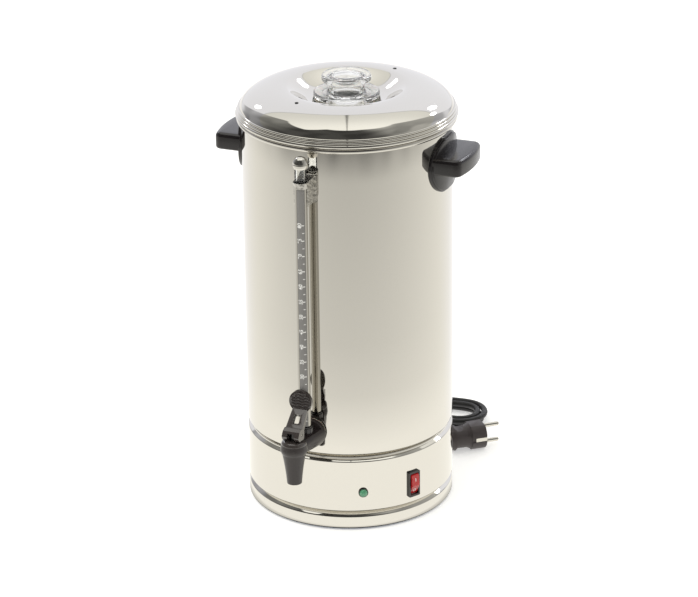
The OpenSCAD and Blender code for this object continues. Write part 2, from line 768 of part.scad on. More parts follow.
module knob_profile() {
  flange_h = 5;
  flange_edge = 2.5;
  button_h = 7;
  button_edge = 3;
  button_z = knob_z + knob_h - button_h;
  box2d([0, knob_z], [knob_flange_r - flange_edge, knob_z + flange_h]);
  box2d([0, knob_z], [knob_flange_r, knob_z + flange_h - flange_edge]);
  translate([knob_flange_r - flange_edge, knob_z + flange_h - flange_edge]) circle(r = flange_edge);
  polygon([[0, knob_z + flange_h - 0.5], [knob_neck_r + 3, knob_z + flange_h - 0.5],
           [knob_neck_r, knob_z + flange_h + 2.5], [knob_neck_r, button_z - 1],
           [knob_neck_r + 2.5, button_z + 0.5], [0, button_z + 0.5]]);
  box2d([0, button_z], [knob_r - button_edge, knob_z + knob_h]);
  box2d([0, button_z + button_edge], [knob_r, knob_z + knob_h - button_edge]);
  for (z = [button_z + button_edge, knob_z + knob_h - button_edge])
    translate([knob_r - button_edge, z]) circle(r = button_edge);
  box2d([0, collar_low], [knob_hole_r - 0.7, knob_z + 1]);
}

module lid_knob() {
  low = collar_low;
  bore_r = knob_neck_r - knob_wall;
  color(clear_glass) difference() {
    union() {
      rotate_extrude() knob_profile();
      rotate([0, 0, 90]) intersection() {
        ring(knob_hole_r + lug_reach, bore_r, low, lug_h);
        translate([0, 0, low]) cube([4 * knob_hole_r, 8, 2 * lug_h], center = true);
      }
    }
    translate([0, 0, low - cut]) cylinder(r = bore_r, h = knob_z + knob_h - knob_wall - low + cut);
  }
}

// Tap, drawn on its own vertical axis

module at_tap() {
  translate([0, -tap_reach, 0]) children();
}

module tap_body() {
  top_r = chamber_r - 1.7;
  flare = [for (s = [0:0.125:1])
    [spout_tip_r + (top_r - spout_tip_r) * (0.55 * s + 0.45 * s * s), spout_z + s * (spout_drop - 2)]];
  flange_face = tank_r + 2 * seat_gap + washer_t;
  color(black_plastic) difference() {
    union() {
      at_tap() rotate_extrude() polygon(concat([[0, spout_z]], flare,
        [[chamber_r - 0.8, tap_z - 1], [chamber_r, tap_z + 2], [chamber_r - 1, chamber_top], [0, chamber_top]]));
      translate([0, 0, tap_z]) {
        radial_rod(shank_r, shank_end, tank_r + 4);
        radial_rod(flange_r, flange_face, flange_face + 2);
        difference() {
          radial_cone(flange_r, 9.6, flange_face + 1.9, tap_reach - 10);
          translate([-flange_r, -tap_reach, chamber_top - tap_z - 0.3])
            cube([2 * flange_r, tap_reach - flange_face - 5, flange_r]);
        }
      }
      translate([0, -gauge_reach, tap_z]) cylinder(r = socket_r, h = socket_top - tap_z);
    }
    at_tap() {
      translate([0, 0, seat_level]) cylinder(r = chamber_bore_r, h = chamber_top - seat_level + cut);
      translate([0, 0, spout_z - cut]) cylinder(r = spout_bore_r, h = seat_level - spout_z + 2 * cut);
    }
    translate([0, 0, tap_z]) radial_rod(5, shank_end - cut, tap_reach);
    translate([0, -gauge_reach, tap_z]) {
      cylinder(r = 3, h = socket_top - tap_z);
      translate([0, 0, 2]) cylinder(r = tube_r + seat_gap, h = socket_top - tap_z);
      translate([0, 0, 5]) cylinder(r = socket_r - 1, h = socket_top - tap_z);
    }
  }
}

module tap_bonnet() {
  dome = bonnet_top - chamber_top - seat_gap;
  base = chamber_top + seat_gap;
  ribs = 14;
  color(black_plastic) at_tap() difference() {
    union() {
      rotate_extrude() polygon([[0, base], [chamber_r - 1, base], [chamber_r - 1.2, base + 0.4 * dome],
        [chamber_r - 2.2, base + 0.8 * dome], [chamber_r - 3.7, bonnet_top], [0, bonnet_top]]);
      translate([0, 0, neck_low]) cylinder(r = chamber_bore_r - seat_gap, h = base - neck_low + 1);
      for (i = [0:ribs - 1]) rotate([0, 0, i * 360 / ribs])
        translate([chamber_r - 2, 0, base + 0.2 * dome]) cylinder(r = 1.1, h = 0.7 * dome);
    }
    translate([0, 0, neck_low - cut]) cylinder(r = stem_r + pin_gap, h = 20);
  }
}

// Involute of the cam that lifts the valve at a steady rate as the lever turns
function cam_point(turn) =
  let (h = cam_base + cam_rate * turn * PI / 180)
  [-h * sin(turn) - cam_rate * cos(turn), -h * cos(turn) + cam_rate * sin(turn)];

module lever_side() {
  polygon(concat([for (turn = [0:5:lever_turn]) cam_point(turn)],
    [[-cam_base - valve_lift + 0.3, 1.5], [-6.5, 5.2], [-2, 7], [5.6, 5], [6.6, 0], [5.2, -cam_base]]));
}

module tap_lever() {
  arm_lean = 44;
  arm_len = 27;
  arm_t = 6;
  thumb_t = 4.4;
  thumb = [tap_reach - gauge_reach - tube_r - 1.4 - thumb_t, 28];
  rib_count = 6;
  slot = 2 * (stem_r + move_gap);
  color(black_plastic) translate([0, -tap_reach, pin_z]) difference() {
    union() {
      rotate([90, 0, 90]) linear_extrude(lever_w, center = true) lever_side();
      rotate([-arm_lean, 0, 0]) translate([0, arm_t / 2, 3]) rotate([90, 0, 0]) linear_extrude(arm_t)
        polygon([[-lever_w / 2, 0], [lever_w / 2, 0], [lever_w / 2 - 1.2, arm_len - 3],
                 [1.2 - lever_w / 2, arm_len - 3]]);
      translate([0, thumb[0], thumb[1]]) rotate([-90, 0, 0]) {
        difference() {
          cylinder(r = thumb_r, h = thumb_t);
          translate([0, 0, -cut]) cylinder(r = thumb_r - 1.8, h = cut + 1);
        }
        intersection() {
          cylinder(r = thumb_r - 1, h = thumb_t);
          for (i = [0:rib_count - 1])
            translate([0, (i - (rib_count - 1) / 2) * 3.2, 1]) cube([2 * thumb_r, 1.5, 1.2], center = true);
        }
      }
    }
    rotate([0, 90, 0]) cylinder(r = lever_pin_r + pin_gap, h = lever_w + 2 * cut, center = true);
    rotate([90, 0, 90]) linear_extrude(slot, center = true) {
      circle(r = 5.6);
      box2d([-20, -20], [stem_r + move_gap, 3.2]);
    }
    rotate([-arm_lean, 0, 0]) translate([0, 0, 15.5]) rotate([90, 0, 0])
      linear_extrude(3 * arm_t, center = true) round_rect([7, 10], 1.5);
  }
}

module lever_pin() {
  color(dull_steel) translate([0, -tap_reach, pin_z]) rotate([0, 90, 0])
    cylinder(r = lever_pin_r, h = lever_w - 0.6, center = true);
}

module valve_stem() {
  color(black_plastic) at_tap() difference() {
    union() {
      translate([0, 0, seat_level + 2.5]) cylinder(r = stem_r, h = pin_z - seat_level - 1);
      translate([0, 0, pin_z + 1.5]) sphere(r = stem_r);
    }
    translate([0, 0, pin_z + stem_r]) cylinder(r = 2 * stem_r, h = 10);
    translate([0, 0, pin_z]) rotate([0, 90, 0]) cylinder(r = lever_pin_r + pin_gap, h = lever_w, center = true);
  }
}

// Silicone cup that closes the outlet and springs the lever back
module seat_cup() {
  foot = seat_level + pin_gap;
  rim = neck_low - seat_gap;
  color(silicone) at_tap() rotate_extrude() difference() {
    polygon([[0, foot], [6.6, foot], [7.4, foot + 1.5], [7, foot + 3.4], [stem_r + 2, foot + 4.6],
             [stem_r + 1.6, rim - 3.4], [chamber_bore_r - 1.2, rim - 1.6], [chamber_bore_r - 0.4, rim - 1.6],
             [chamber_bore_r - 0.4, rim], [0, rim]]);
    box2d([-1, seat_level + 2.4], [stem_r + pin_gap, rim + cut]);
  }
}

module tap_nut() {
  nut_t = 6;
  face = washer_face - washer_t - seat_gap;
  color(dull_steel) translate([0, 0, tap_z]) difference() {
    translate([0, -face + nut_t, 0]) rotate([90, 0, 0]) cylinder(r = 13.8, h = nut_t, $fn = 6);
    radial_rod(shank_r + pin_gap, face - nut_t - cut, face + cut);
  }
}

module tap_inner_washer() {
  face = washer_face;
  color(silicone) translate([0, 0, tap_z]) difference() {
    radial_rod(inner_washer_r, face - washer_t, face);
    radial_rod(shank_r + pin_gap, face - washer_t - cut, face + cut);
  }
}

module tap_outer_washer() {
  color(silicone) translate([0, 0, tap_z]) difference() {
    radial_rod(flange_r - 1, tank_r + seat_gap, tank_r + seat_gap + washer_t);
    radial_rod(shank_r + pin_gap, tank_r - cut, tank_r + washer_t + cut);
  }
}

// Sight gauge

tube_low = tap_z + 2.2;

module gauge_tube() {
  color(clear_glass) translate([0, -gauge_reach, 0]) ring(tube_r, tube_r - tube_wall, tube_low, tube_top - tube_low);
}

module gauge_scale() {
  spread = 72;
  turned = 18;
  strip_t = 0.25;
  low = nut_top + 1;
  high = clip_z + clip_h / 2 - clip_band - 0.6;
  color([0.45, 0.45, 0.44]) translate([0, -gauge_reach, low]) rotate([0, 0, turned - 90 - spread / 2])
    rotate_extrude(angle = spread) translate([tube_r + 0.08, 0]) square([strip_t, high - low]);
}

// Bright strip that wraps round the back of the tube between the edges of the scale
module gauge_backing() {
  spread = 284;
  turned = 18;
  strip_t = 0.25;
  low = nut_top + 1;
  high = clip_z + clip_h / 2 - clip_band - 0.6;
  color(steel) translate([0, -gauge_reach, low]) rotate([0, 0, turned + 90 - spread / 2])
    rotate_extrude(angle = spread) translate([tube_r + 0.08, 0]) square([strip_t, high - low]);
}

module gauge_cap() {
  ball_r = tube_r + 1.9;
  grip = 1.4;
  ball_z = tube_top + 3;
  color(steel) translate([0, -gauge_reach, 0]) difference() {
    union() {
      translate([0, 0, ball_z]) sphere(r = ball_r);
      translate([0, 0, ball_z - 0.4]) cylinder(r = ball_r + 0.25, h = 0.8);
    }
    translate([0, 0, ball_z - 2 * ball_r]) cylinder(r = tube_r + seat_gap, h = 2 * ball_r - 3 + seat_gap);
    translate([0, 0, ball_z - 2 * ball_r]) cylinder(r = 2 * ball_r, h = 2 * ball_r - 3 - grip);
    translate([0, 0, tube_top - grip]) cylinder(r = 1.5, h = 4 * ball_r);
  }
}

module gauge_clip() {
  band_in = tube_r + 0.5;
  band_r = band_in + clip_wall;
  low = clip_z - clip_h / 2;
  web_h = clip_h + 10;
  web_low = low + clip_h - web_h;
  web_reach = gauge_reach - tank_r - 1;
  foot = [2 * band_r + 4, web_h + 4];
  color(steel) difference() {
    union() {
      translate([0, -gauge_reach, 0]) ring(band_r, band_in, low, clip_h);
      for (side = [-1, 1])
        translate([side * (band_r - clip_wall / 2) - clip_wall / 2, -gauge_reach, web_low])
          cube([clip_wall, web_reach, web_h]);
      translate([0, -tank_r - seat_gap, web_low + web_h / 2]) rotate([90, 0, 0]) linear_extrude(clip_wall)
        round_rect(foot, 2);
    }
    translate([0, -gauge_reach, low - cut]) cylinder(r = band_in, h = clip_h + 2 * cut);
    translate([-2 * band_r, -gauge_reach - 2 * band_r, low - cut])
      cube([4 * band_r, 2 * band_r, clip_h - clip_band + cut]);
    translate([0, 0, clip_z - 12]) radial_rod(screw_r + pin_gap, tank_r - cut, tank_r + 4);
  }
}

module clip_screw() {
  color(dull_steel) translate([0, 0, clip_z - 12]) difference() {
    union() {
      radial_rod(screw_r, tank_r - 7, tank_r + 2);
      radial_cone(2 * screw_r, 1.2 * screw_r, tank_r + seat_gap * 2 + clip_wall, tank_r + 3.4);
    }
    translate([0, -tank_r - 3.4, 0]) cube([3 * screw_r, 1.4, 0.8], center = true);
  }
}

module gauge_gland_nut() {
  notches = 12;
  color(black_plastic) translate([0, -gauge_reach, socket_top + seat_gap]) difference() {
    union() {
      cylinder(r = socket_r, h = nut_top - socket_top - 1.4);
      cylinder(r = socket_r - 1, h = nut_top - socket_top);
    }
    translate([0, 0, -cut]) cylinder(r = tube_r + seat_gap, h = 10);
    for (i = [0:notches - 1]) rotate([0, 0, i * 360 / notches])
      translate([socket_r + 0.2, 0, -cut]) cylinder(r = 0.7, h = 10);
  }
}

module gauge_seal() {
  color(silicone) translate([0, -gauge_reach, 0])
    ring(socket_r - 1 - pin_gap, tube_r + pin_gap, tap_z + 5 + pin_gap, socket_top - tap_z - 5 - 2 * pin_gap);
}

// Percolator

pump_base_r = well_r - 3;
bell_top = floor_z - 1;
pump_bore_r = pump_r - 1.5;

module pump_tube() {
  color(steel) difference() {
    union() {
      translate([0, 0, bell_top - 1.5]) cylinder(r = pump_r, h = pump_top - bell_top + 1.5);
      translate([0, 0, basket_z + 0.8 - collar_h]) cylinder(r = pump_r + 3.5, h = collar_h);
    }
    translate([0, 0, well_z]) cylinder(r = pump_bore_r, h = pump_top);
  }
}

module pump_base() {
  low = well_z + 0.3;
  color(steel) difference() {
    rotate_extrude() difference() {
      union() {
        polygon([[0, low], [pump_base_r, low], [pump_base_r, low + 1.5], [pump_base_r - 10, bell_top - 1],
                 [pump_r + 2, bell_top], [0, bell_top]]);
        box2d([0, bell_top - 1], [pump_r + 1.6, bell_top + 6]);
      }
      polygon([[0, low - cut], [pump_base_r - 1.6, low - cut], [pump_base_r - 1.6, low + 0.8],
               [pump_base_r - 11, bell_top - 3], [0, bell_top - 3]]);
      box2d([0, low], [pump_bore_r, bell_top + 10]);
      box2d([0, bell_top - 1.6], [pump_r + seat_gap, bell_top + 10]);
    }
    for (a = [0:60:300]) rotate([0, 0, a]) translate([pump_base_r, 0, low]) cube([12, 5, 2], center = true);
  }
}

module pump_washer() {
  color(dull_steel) ring(pump_base_r - 6, 3, well_z + 0.6, 1);
}

// Rings of holes drilled along Z
module drilled_rings(first_r, rings, pitch, hole_r, z, h) {
  for (k = [0:rings - 1])
    let (r = first_r + k * pitch, count = floor(2 * PI * r / pitch / 6) * 6)
      for (i = [0:count - 1]) rotate([0, 0, i * 360 / count]) translate([r, 0, z]) cylinder(r = hole_r, h = h);
}

module coffee_basket() {
  ledge = 8;
  bead = 1.4;
  color(steel) rotate_extrude() {
    box2d([basket_r - ledge, basket_z], [basket_r, basket_z + basket_wall]);
    box2d([basket_r - basket_wall, basket_z], [basket_r, basket_top - bead]);
    translate([basket_r, basket_top - bead]) circle(r = bead);
  }
}

module basket_strainer() {
  plate_z = basket_z + basket_wall + 0.3;
  hub_r = pump_r + move_gap;
  color(steel) difference() {
    union() {
      ring(basket_r - basket_wall - move_gap, hub_r, plate_z, 1);
      ring(hub_r + 1.6, hub_r, plate_z, 9);
    }
    drilled_rings(18, 4, 16, 1.4, plate_z - cut, 1 + 2 * cut);
  }
}

module basket_spreader() {
  rim_out = basket_r + 1;
  plate_z = basket_top + 0.3;
  guide_r = basket_r - basket_wall - 1;
  color(steel) difference() {
    rotate_extrude() {
      box2d([pump_r + move_gap, plate_z], [rim_out, plate_z + basket_wall]);
      box2d([guide_r - basket_wall, plate_z - 3], [guide_r, plate_z + basket_wall / 2]);
    }
    drilled_rings(18, 4, 16, 1.4, plate_z - cut, basket_wall + 2 * cut);
  }
}

// Mains cord

module cord_gland() {
  face = tank_r + 3.4;
  ribs = 4;
  rib_pitch = (gland_reach - face - 5) / ribs;
  color(black_plastic) at_wall(gland_az, gland_z) difference() {
    union() {
      radial_rod(9, tank_r + 2 * seat_gap, face);
      radial_rod(6, tank_r - 12, face);
      radial_cone(6.5, cord_r + 1.2, face - 0.5, gland_reach);
      for (i = [0:ribs - 1])
        radial_rod(7 - 0.5 * i, face + (i + 0.5) * rib_pitch, face + (i + 0.95) * rib_pitch);
      translate([0, wall + 4 - tank_r, 0]) rotate([90, 0, 0]) cylinder(r = 9.5, h = 3.2, $fn = 6);
    }
    radial_rod(cord_r, tank_r - 13, tank_r);
  }
}

module cord_lead() {
  color(black_plastic) swept_tube(lead_route, cord_r, 10);
}

module cord_hank() {
  color(black_plastic) swept_tube(hank_route, cord_r, 6);
}

module cord_tail() {
  color(black_plastic) swept_tube(tail_route, cord_r, 10);
}

// Strap round the drawn-in waist of the hank
module hank_tie() {
  band_t = 0.8;
  band_w = 5;
  near = waist_y - cord_r - 1;
  far = hank_y + hank_outer_r - hank_step / 2 - hank_dip + cord_r + 0.5;
  high = high_z + cord_r + 0.3;
  color(black_plastic) translate([hank_x - band_w / 2, 0, 0]) rotate([90, 0, 90]) linear_extrude(band_w)
    difference() {
      box2d([near - band_t, 0.1], [far + band_t, high + band_t]);
      box2d([near, 0.1 + band_t], [far, high]);
    }
}

// Angled plug: the pins point one way and the cord leaves square to them
module at_plug() {
  translate(plug_face) rotate([0, 0, plug_angle]) children();
}

plug_r = 16;
plug_flat = 13.8;
pin_pitch = 19;
pin_r = 2.4;
pin_len = 19;
pin_root_r = pin_r - 0.3;

module plug_body() {
  head_len = 17;
  grip_end = 40;
  color(black_plastic) at_plug() difference() {
    union() {
      intersection() {
        translate([-head_len, 0, 0]) rotate([0, 90, 0]) cylinder(r = plug_r, h = head_len);
        cube([4 * head_len, 4 * plug_r, 2 * plug_flat], center = true);
      }
      translate([-head_len - 4, 0, 0]) rotate([0, 90, 0]) cylinder(r1 = 12.5, r2 = 14.6, h = 4.5);
      translate([-grip_end + 4, 0, 0]) rotate([0, 90, 0]) cylinder(r = 12.5, h = grip_end - head_len - 7);
      translate([-grip_end, 0, 0]) rotate([0, 90, 0]) cylinder(r1 = 13, r2 = 14.5, h = 5);
      translate([-plug_outlet, 0, -outlet_drop]) rotate([-90, 0, 0]) {
        cylinder(r = 9, h = 15);
        translate([0, 0, 14.5]) cylinder(r1 = 7.6, r2 = cord_r + 0.8, h = plug_relief - 14.5);
        for (i = [0:3]) translate([0, 0, 17 + 4.6 * i]) cylinder(r = 7.6 - 0.8 * i, h = 2);
      }
    }
    for (side = [-1, 1]) {
      translate([-head_len + 3, side * plug_r, 0]) cube([2 * head_len, 2.4, 5.4], center = true);
      translate([-12, 0, side * pin_pitch / 2]) rotate([0, 90, 0]) cylinder(r = pin_root_r + pin_gap, h = 20);
      translate([-head_len - 12, -10, side * 17]) rotate([-90, 0, 0]) cylinder(r = 7, h = 20);
    }
  }
}

module plug_pins() {
  root = 11.5;
  tip = 1;
  color(steel) at_plug() for (side = [-1, 1]) translate([0, 0, side * pin_pitch / 2]) rotate([0, 90, 0]) {
    translate([0, 0, -root]) cylinder(r = pin_root_r, h = root + tip);
    translate([0, 0, seat_gap]) cylinder(r = pin_r, h = pin_len - tip - seat_gap);
    translate([0, 0, pin_len - tip]) cylinder(r1 = pin_r, r2 = pin_r - 0.8, h = tip);
  }
}

module plug_contacts() {
  color(steel) at_plug() for (side = [-1, 1])
    translate([-6.6, side * (plug_r - 0.55), 0]) cube([13, 0.8, 4.4], center = true);
}

tank_shell();
tank_floor();
base_skirt();
bottom_pan();
rubber_feet();
base_posts();
base_screws();
heater_plate();
main_heater();
keep_warm_heater();
thermostat();
thermal_cutout();
terminal_block();
switch_housing();
switch_rocker();
pilot_holder();
pilot_lens();
left_handle();
right_handle();
handle_screws();
handle_washers();
lid_shell();
lid_ring();
knob_gasket();
lid_knob();
tap_body();
tap_bonnet();
tap_lever();
lever_pin();
valve_stem();
seat_cup();
tap_nut();
tap_inner_washer();
tap_outer_washer();
gauge_tube();
gauge_scale();
gauge_backing();
gauge_cap();
gauge_clip();
clip_screw();
gauge_gland_nut();
gauge_seal();
pump_tube();
pump_base();
pump_washer();
coffee_basket();
basket_strainer();
basket_spreader();
cord_gland();
cord_lead();
cord_hank();
cord_tail();
hank_tie();
plug_body();
plug_pins();
plug_contacts();
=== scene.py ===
"""Looks of a percolating coffee urn: polished shells, moulded fittings, a sight gauge and a mains cord.

Metres, +Z up. The tap faces -Y and the handles lie on the X axis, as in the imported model.
"""

import json
import logging
import math
from collections.abc import Callable
from dataclasses import dataclass
from enum import Enum

import bmesh
import bpy
import numpy as np
from mathutils import Matrix


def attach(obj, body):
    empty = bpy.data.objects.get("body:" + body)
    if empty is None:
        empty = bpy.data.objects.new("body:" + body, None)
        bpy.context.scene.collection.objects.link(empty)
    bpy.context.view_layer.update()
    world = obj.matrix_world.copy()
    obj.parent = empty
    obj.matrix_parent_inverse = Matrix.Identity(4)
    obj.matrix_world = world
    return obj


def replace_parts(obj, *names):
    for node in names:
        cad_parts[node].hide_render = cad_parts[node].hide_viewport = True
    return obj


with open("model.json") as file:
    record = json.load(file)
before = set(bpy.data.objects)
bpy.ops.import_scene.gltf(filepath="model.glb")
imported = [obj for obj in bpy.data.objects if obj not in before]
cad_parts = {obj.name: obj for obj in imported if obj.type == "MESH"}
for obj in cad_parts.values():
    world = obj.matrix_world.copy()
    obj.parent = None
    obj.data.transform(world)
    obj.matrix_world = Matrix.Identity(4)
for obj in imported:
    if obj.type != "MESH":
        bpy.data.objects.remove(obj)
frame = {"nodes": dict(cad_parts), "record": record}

log = logging.getLogger("urn")
MM = 0.001
# Most of a noise texture lies between these values
GRAIN_LIMITS = (0.3, 0.7)
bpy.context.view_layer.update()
BODY_OF = {node: body for body, nodes in frame["record"]["behaviour"]["bodies"].items() for node in nodes}
SLOT_OF = {part["node"]: part["material_slot"] for part in frame["record"]["subparts"]}


class Edge(Enum):
    """How far the edges of a carried-over solid are rounded, in millimetres."""

    CRISP = 0.15
    MOULDED = 0.5


def linear(hex_colour: str) -> tuple[float, float, float, float]:
    """Turn an sRGB hex colour into linear light.

    Args:
        hex_colour: six hex digits after a hash sign.

    Returns:
        Linear red, green and blue, and an alpha of one.
    """
    srgb = np.array([int(hex_colour[i:i + 2], 16) for i in (1, 3, 5)]) / 255
    light = np.where(srgb <= 0.04045, srgb / 12.92, ((srgb + 0.055) / 1.055) ** 2.4)
    return (*light.tolist(), 1.0)


def add_node(tree: bpy.types.NodeTree, kind: str, links: dict | None = None, **settings) -> bpy.types.Node:
    """Add one node with its settings, socket values and links.

    Args:
        tree: node tree that gets the node.
        kind: Blender's name of the node type.
        links: input name or index to a value, or to the output socket that feeds it.
        settings: properties of the node itself.

    Returns:
        The new node.
    """
    node = tree.nodes.new(kind)
    for name, value in settings.items():
        setattr(node, name, value)
    for name, value in (links or {}).items():
        if isinstance(value, bpy.types.NodeSocket):
            tree.links.new(value, node.inputs[name])
        else:
            node.inputs[name].default_value = value
    return node


def set_stops(ramp: bpy.types.ColorRamp, stops: list[tuple[float, float | tuple]]) -> None:
    """Replace the stops of a colour ramp.

    Args:
        ramp: a new ramp, with the two stops that it starts with.
        stops: position and colour, or position and grey value, in rising order.
    """
    ramp.elements.remove(ramp.elements[1])
    for k, (position, colour) in enumerate(stops):
        stop = ramp.elements[0] if k == 0 else ramp.elements.new(position)
        stop.position = position
        stop.color = colour if isinstance(colour, tuple) else (colour, colour, colour, 1)


@dataclass(frozen=True)
class Finish:
    """One real material, with a fine grain that moves its roughness, its tone and its relief.

    Sizes are in millimetres. stretch makes the grain longer along Z when it is below one.
    """

    name: str
    colour: str
    roughness: tuple[float, float]
    grain_mm: float
    relief_mm: float = 0.0
    tone: float = 0.06
    metallic: float = 0.0
    ior: float = 1.5
    transmission: float = 0.0
    coat: float = 0.0
    subsurface: float = 0.0
    stretch: float = 1.0
    wave_mm: float = 0.0
    wave_relief_mm: float = 0.0

    def build(self) -> bpy.types.Material:
        """Make the node material.

        Returns:
            The material, read from Object coordinates in metres.
        """
        material = bpy.data.materials.new(self.name)
        material.use_nodes = True
        tree = material.node_tree
        shader = tree.nodes["Principled BSDF"]
        place = add_node(tree, "ShaderNodeTexCoord").outputs["Object"]
        place = add_node(tree, "ShaderNodeMapping", {"Vector": place, "Scale": (1, 1, self.stretch)}).outputs["Vector"]
        grain = add_node(tree, "ShaderNodeTexNoise", {"Vector": place, "Scale": 1 / (self.grain_mm * MM),
                                                      "Detail": 3.0})
        low, high = GRAIN_LIMITS
        rough = add_node(tree, "ShaderNodeMapRange", {"Value": grain.outputs["Fac"], "From Min": low, "From Max": high,
                                                      "To Min": self.roughness[0], "To Max": self.roughness[1]})
        tree.links.new(rough.outputs["Result"], shader.inputs["Roughness"])
        base = linear(self.colour)
        if self.tone > 0 and self.transmission == 0:
            ramp = add_node(tree, "ShaderNodeValToRGB", {"Fac": grain.outputs["Fac"]})
            set_stops(ramp.color_ramp, [(limit, (*[min(1, c * (1 + side * self.tone)) for c in base[:3]], 1))
                                        for limit, side in zip(GRAIN_LIMITS, (-1, 1))])
            tree.links.new(ramp.outputs["Color"], shader.inputs["Base Color"])
        else:
            shader.inputs["Base Color"].default_value = base
        normal = None
        if self.relief_mm > 0:
            normal = add_node(tree, "ShaderNodeBump", {"Height": grain.outputs["Fac"], "Strength": 1.0,
                                                       "Distance": self.relief_mm * MM}).outputs["Normal"]
        if self.wave_mm > 0:
            wave = add_node(tree, "ShaderNodeTexNoise", {"Vector": place, "Scale": 1 / (self.wave_mm * MM),
                                                         "Detail": 1.0})
            links = {"Height": wave.outputs["Fac"], "Strength": 1.0, "Distance": self.wave_relief_mm * MM}
            if normal is not None:
                links["Normal"] = normal
            normal = add_node(tree, "ShaderNodeBump", links).outputs["Normal"]
        if normal is not None:
            tree.links.new(normal, shader.inputs["Normal"])
        shader.inputs["Metallic"].default_value = self.metallic
        if self.metallic < 1:
            shader.inputs["IOR"].default_value = self.ior
        shader.inputs["Transmission Weight"].default_value = self.transmission
        shader.inputs["Coat Weight"].default_value = self.coat
        if self.subsurface > 0:
            shader.inputs["Subsurface Weight"].default_value = self.subsurface
            shader.inputs["Subsurface Radius"].default_value = (0.002, 0.001, 0.001)
        return material


# Mirror-polished stainless sheet: clear reflections that swim a little with the sheet's long waves
POLISHED_STEEL = Finish("polished_stainless_sheet", "#DAD7D0", (0.02, 0.055), 1.2, 0.0, 0.01, 1.0,
                        wave_mm=70.0, wave_relief_mm=0.05)
# Spun and bright-annealed stainless: soft reflections with a fine drawn grain
SATIN_STEEL = Finish("satin_stainless", "#BDBBB5", (0.22, 0.36), 0.9, 0.004, 0.05, 1.0, stretch=0.08)
# The tank's inner wall as it was drawn: dull enough to scatter the light that falls in
DRAWN_STEEL = Finish("drawn_stainless", "#D2D0CA", (0.45, 0.55), 0.9, 0.004, 0.05, 0.45, stretch=0.08)
# Cast aluminium: dull grey with an open skin
CAST_ALUMINIUM = Finish("cast_aluminium", "#B4B5B6", (0.42, 0.60), 1.6, 0.05, 0.08, 1.0)
# Oxidised heater sheath: blue-brown scale on steel
HEATER_SHEATH = Finish("oxidised_heater_sheath", "#4A4038", (0.40, 0.62), 2.0, 0.03, 0.25, 0.8)
# Nickel-plated brass pins
NICKEL = Finish("nickel_plated_brass", "#D6D3CB", (0.10, 0.20), 0.8, 0.001, 0.03, 1.0)
# Moulded black phenolic: a soft gloss over a very fine skin
BLACK_PLASTIC = Finish("black_moulded_phenolic", "#181415", (0.15, 0.25), 0.7, 0.003, 0.15, ior=1.6, coat=0.1)
# Moulded black nylon of the tap: matte, with a brown cast
TAP_NYLON = Finish("black_moulded_nylon", "#2E2827", (0.26, 0.40), 0.6, 0.008, 0.15, coat=0.1)
# The same nylon where it is polished in the mould: sharper, brighter highlights on edges and ribs
GLOSSY_NYLON = Finish("glossy_black_nylon", "#3A3432", (0.10, 0.18), 0.6, 0.004, 0.15, ior=1.8, coat=0.4)
# Chromed strap that was bent by hand: broken, mottled reflections
CHROMED_STRAP = Finish("bent_chromed_strap", "#D0CDC6", (0.16, 0.28), 1.0, 0.0, 0.05, 0.85,
                       wave_mm=4.0, wave_relief_mm=1.2)
# The strip behind the sight tube: the same sheet, a little tarnished, so that it mirrors darker
TARNISHED_STRIP = Finish("tarnished_stainless_strip", "#B0ADA6", (0.04, 0.09), 1.2, 0.0, 0.02, 1.0)
# Unglazed terminal block: chalky white without a highlight
CERAMIC = Finish("unglazed_ceramic", "#E6E1D5", (0.55, 0.72), 0.8, 0.02, 0.04)
# Brown bakelite of the thermostats: nearly black, with a waxy sheen
BAKELITE = Finish("brown_bakelite", "#2A211C", (0.35, 0.5), 1.1, 0.01, 0.2)
# Translucent red moulding that glows a little at its edges
RED_PLASTIC = Finish("translucent_red_polycarbonate", "#B81A1C", (0.16, 0.26), 1.0, 0.002, 0.06,
                     subsurface=0.25, coat=0.3)
# Unlit green lens: milky, with one clear highlight
GREEN_LENS = Finish("translucent_green_acrylic", "#5A9A76", (0.10, 0.18), 1.0, 0.002, 0.08, subsurface=0.2, coat=0.4)
# Foot rubber: dead matte, dusty black
FOOT_RUBBER = Finish("black_foot_rubber", "#1A1A1A", (0.60, 0.80), 0.9, 0.02, 0.12)
# Silicone seals: soft white that lets some light in
SILICONE = Finish("white_silicone", "#E4DFD4", (0.42, 0.58), 0.9, 0.005, 0.04, subsurface=0.2)
# Clear moulded knob: bright rims and a faint unevenness
CLEAR_KNOB = Finish("clear_moulded_styrene", "#FFFFFF", (0.0, 0.02), 3.0, 0.0, 0.0, ior=1.40, transmission=0.93)
# Clear drawn tube: two bright edges, and the scale shows through
CLEAR_TUBE = Finish("clear_drawn_tube", "#F8F9F8", (0.0, 0.02), 3.0, 0.0, 0.0, ior=1.47, transmission=1.0)
# Printed film in the gauge: plain mid grey that sets off the marks
SCALE_FILM = Finish("grey_printed_film", "#7E7C79", (0.30, 0.42), 1.5, 0.0, 0.04)
# Screen ink: flat white
SCALE_INK = Finish("white_screen_ink", "#F2F1EC", (0.45, 0.6), 0.6, 0.0, 0.02)
# Cord sheath: black vinyl with a soft, broken sheen
CORD_SHEATH = Finish("black_cord_sheath", "#1C1B1B", (0.40, 0.55), 0.7, 0.012, 0.15)
# Plug of soft black vinyl: a dull, slightly brown skin
PLUG_VINYL = Finish("black_moulded_vinyl", "#463F3F", (0.42, 0.58), 0.7, 0.010, 0.12)
# Twist tie: off-white, slightly waxy
TIE_PLASTIC = Finish("white_twist_tie", "#DEDDD8", (0.40, 0.55), 0.8, 0.01, 0.05)
# Bore of a vent hole: dark, because no light gets in
VENT_SHADE = Finish("shaded_vent_bore", "#1B1A18", (0.5, 0.7), 0.8, 0.0, 0.1)

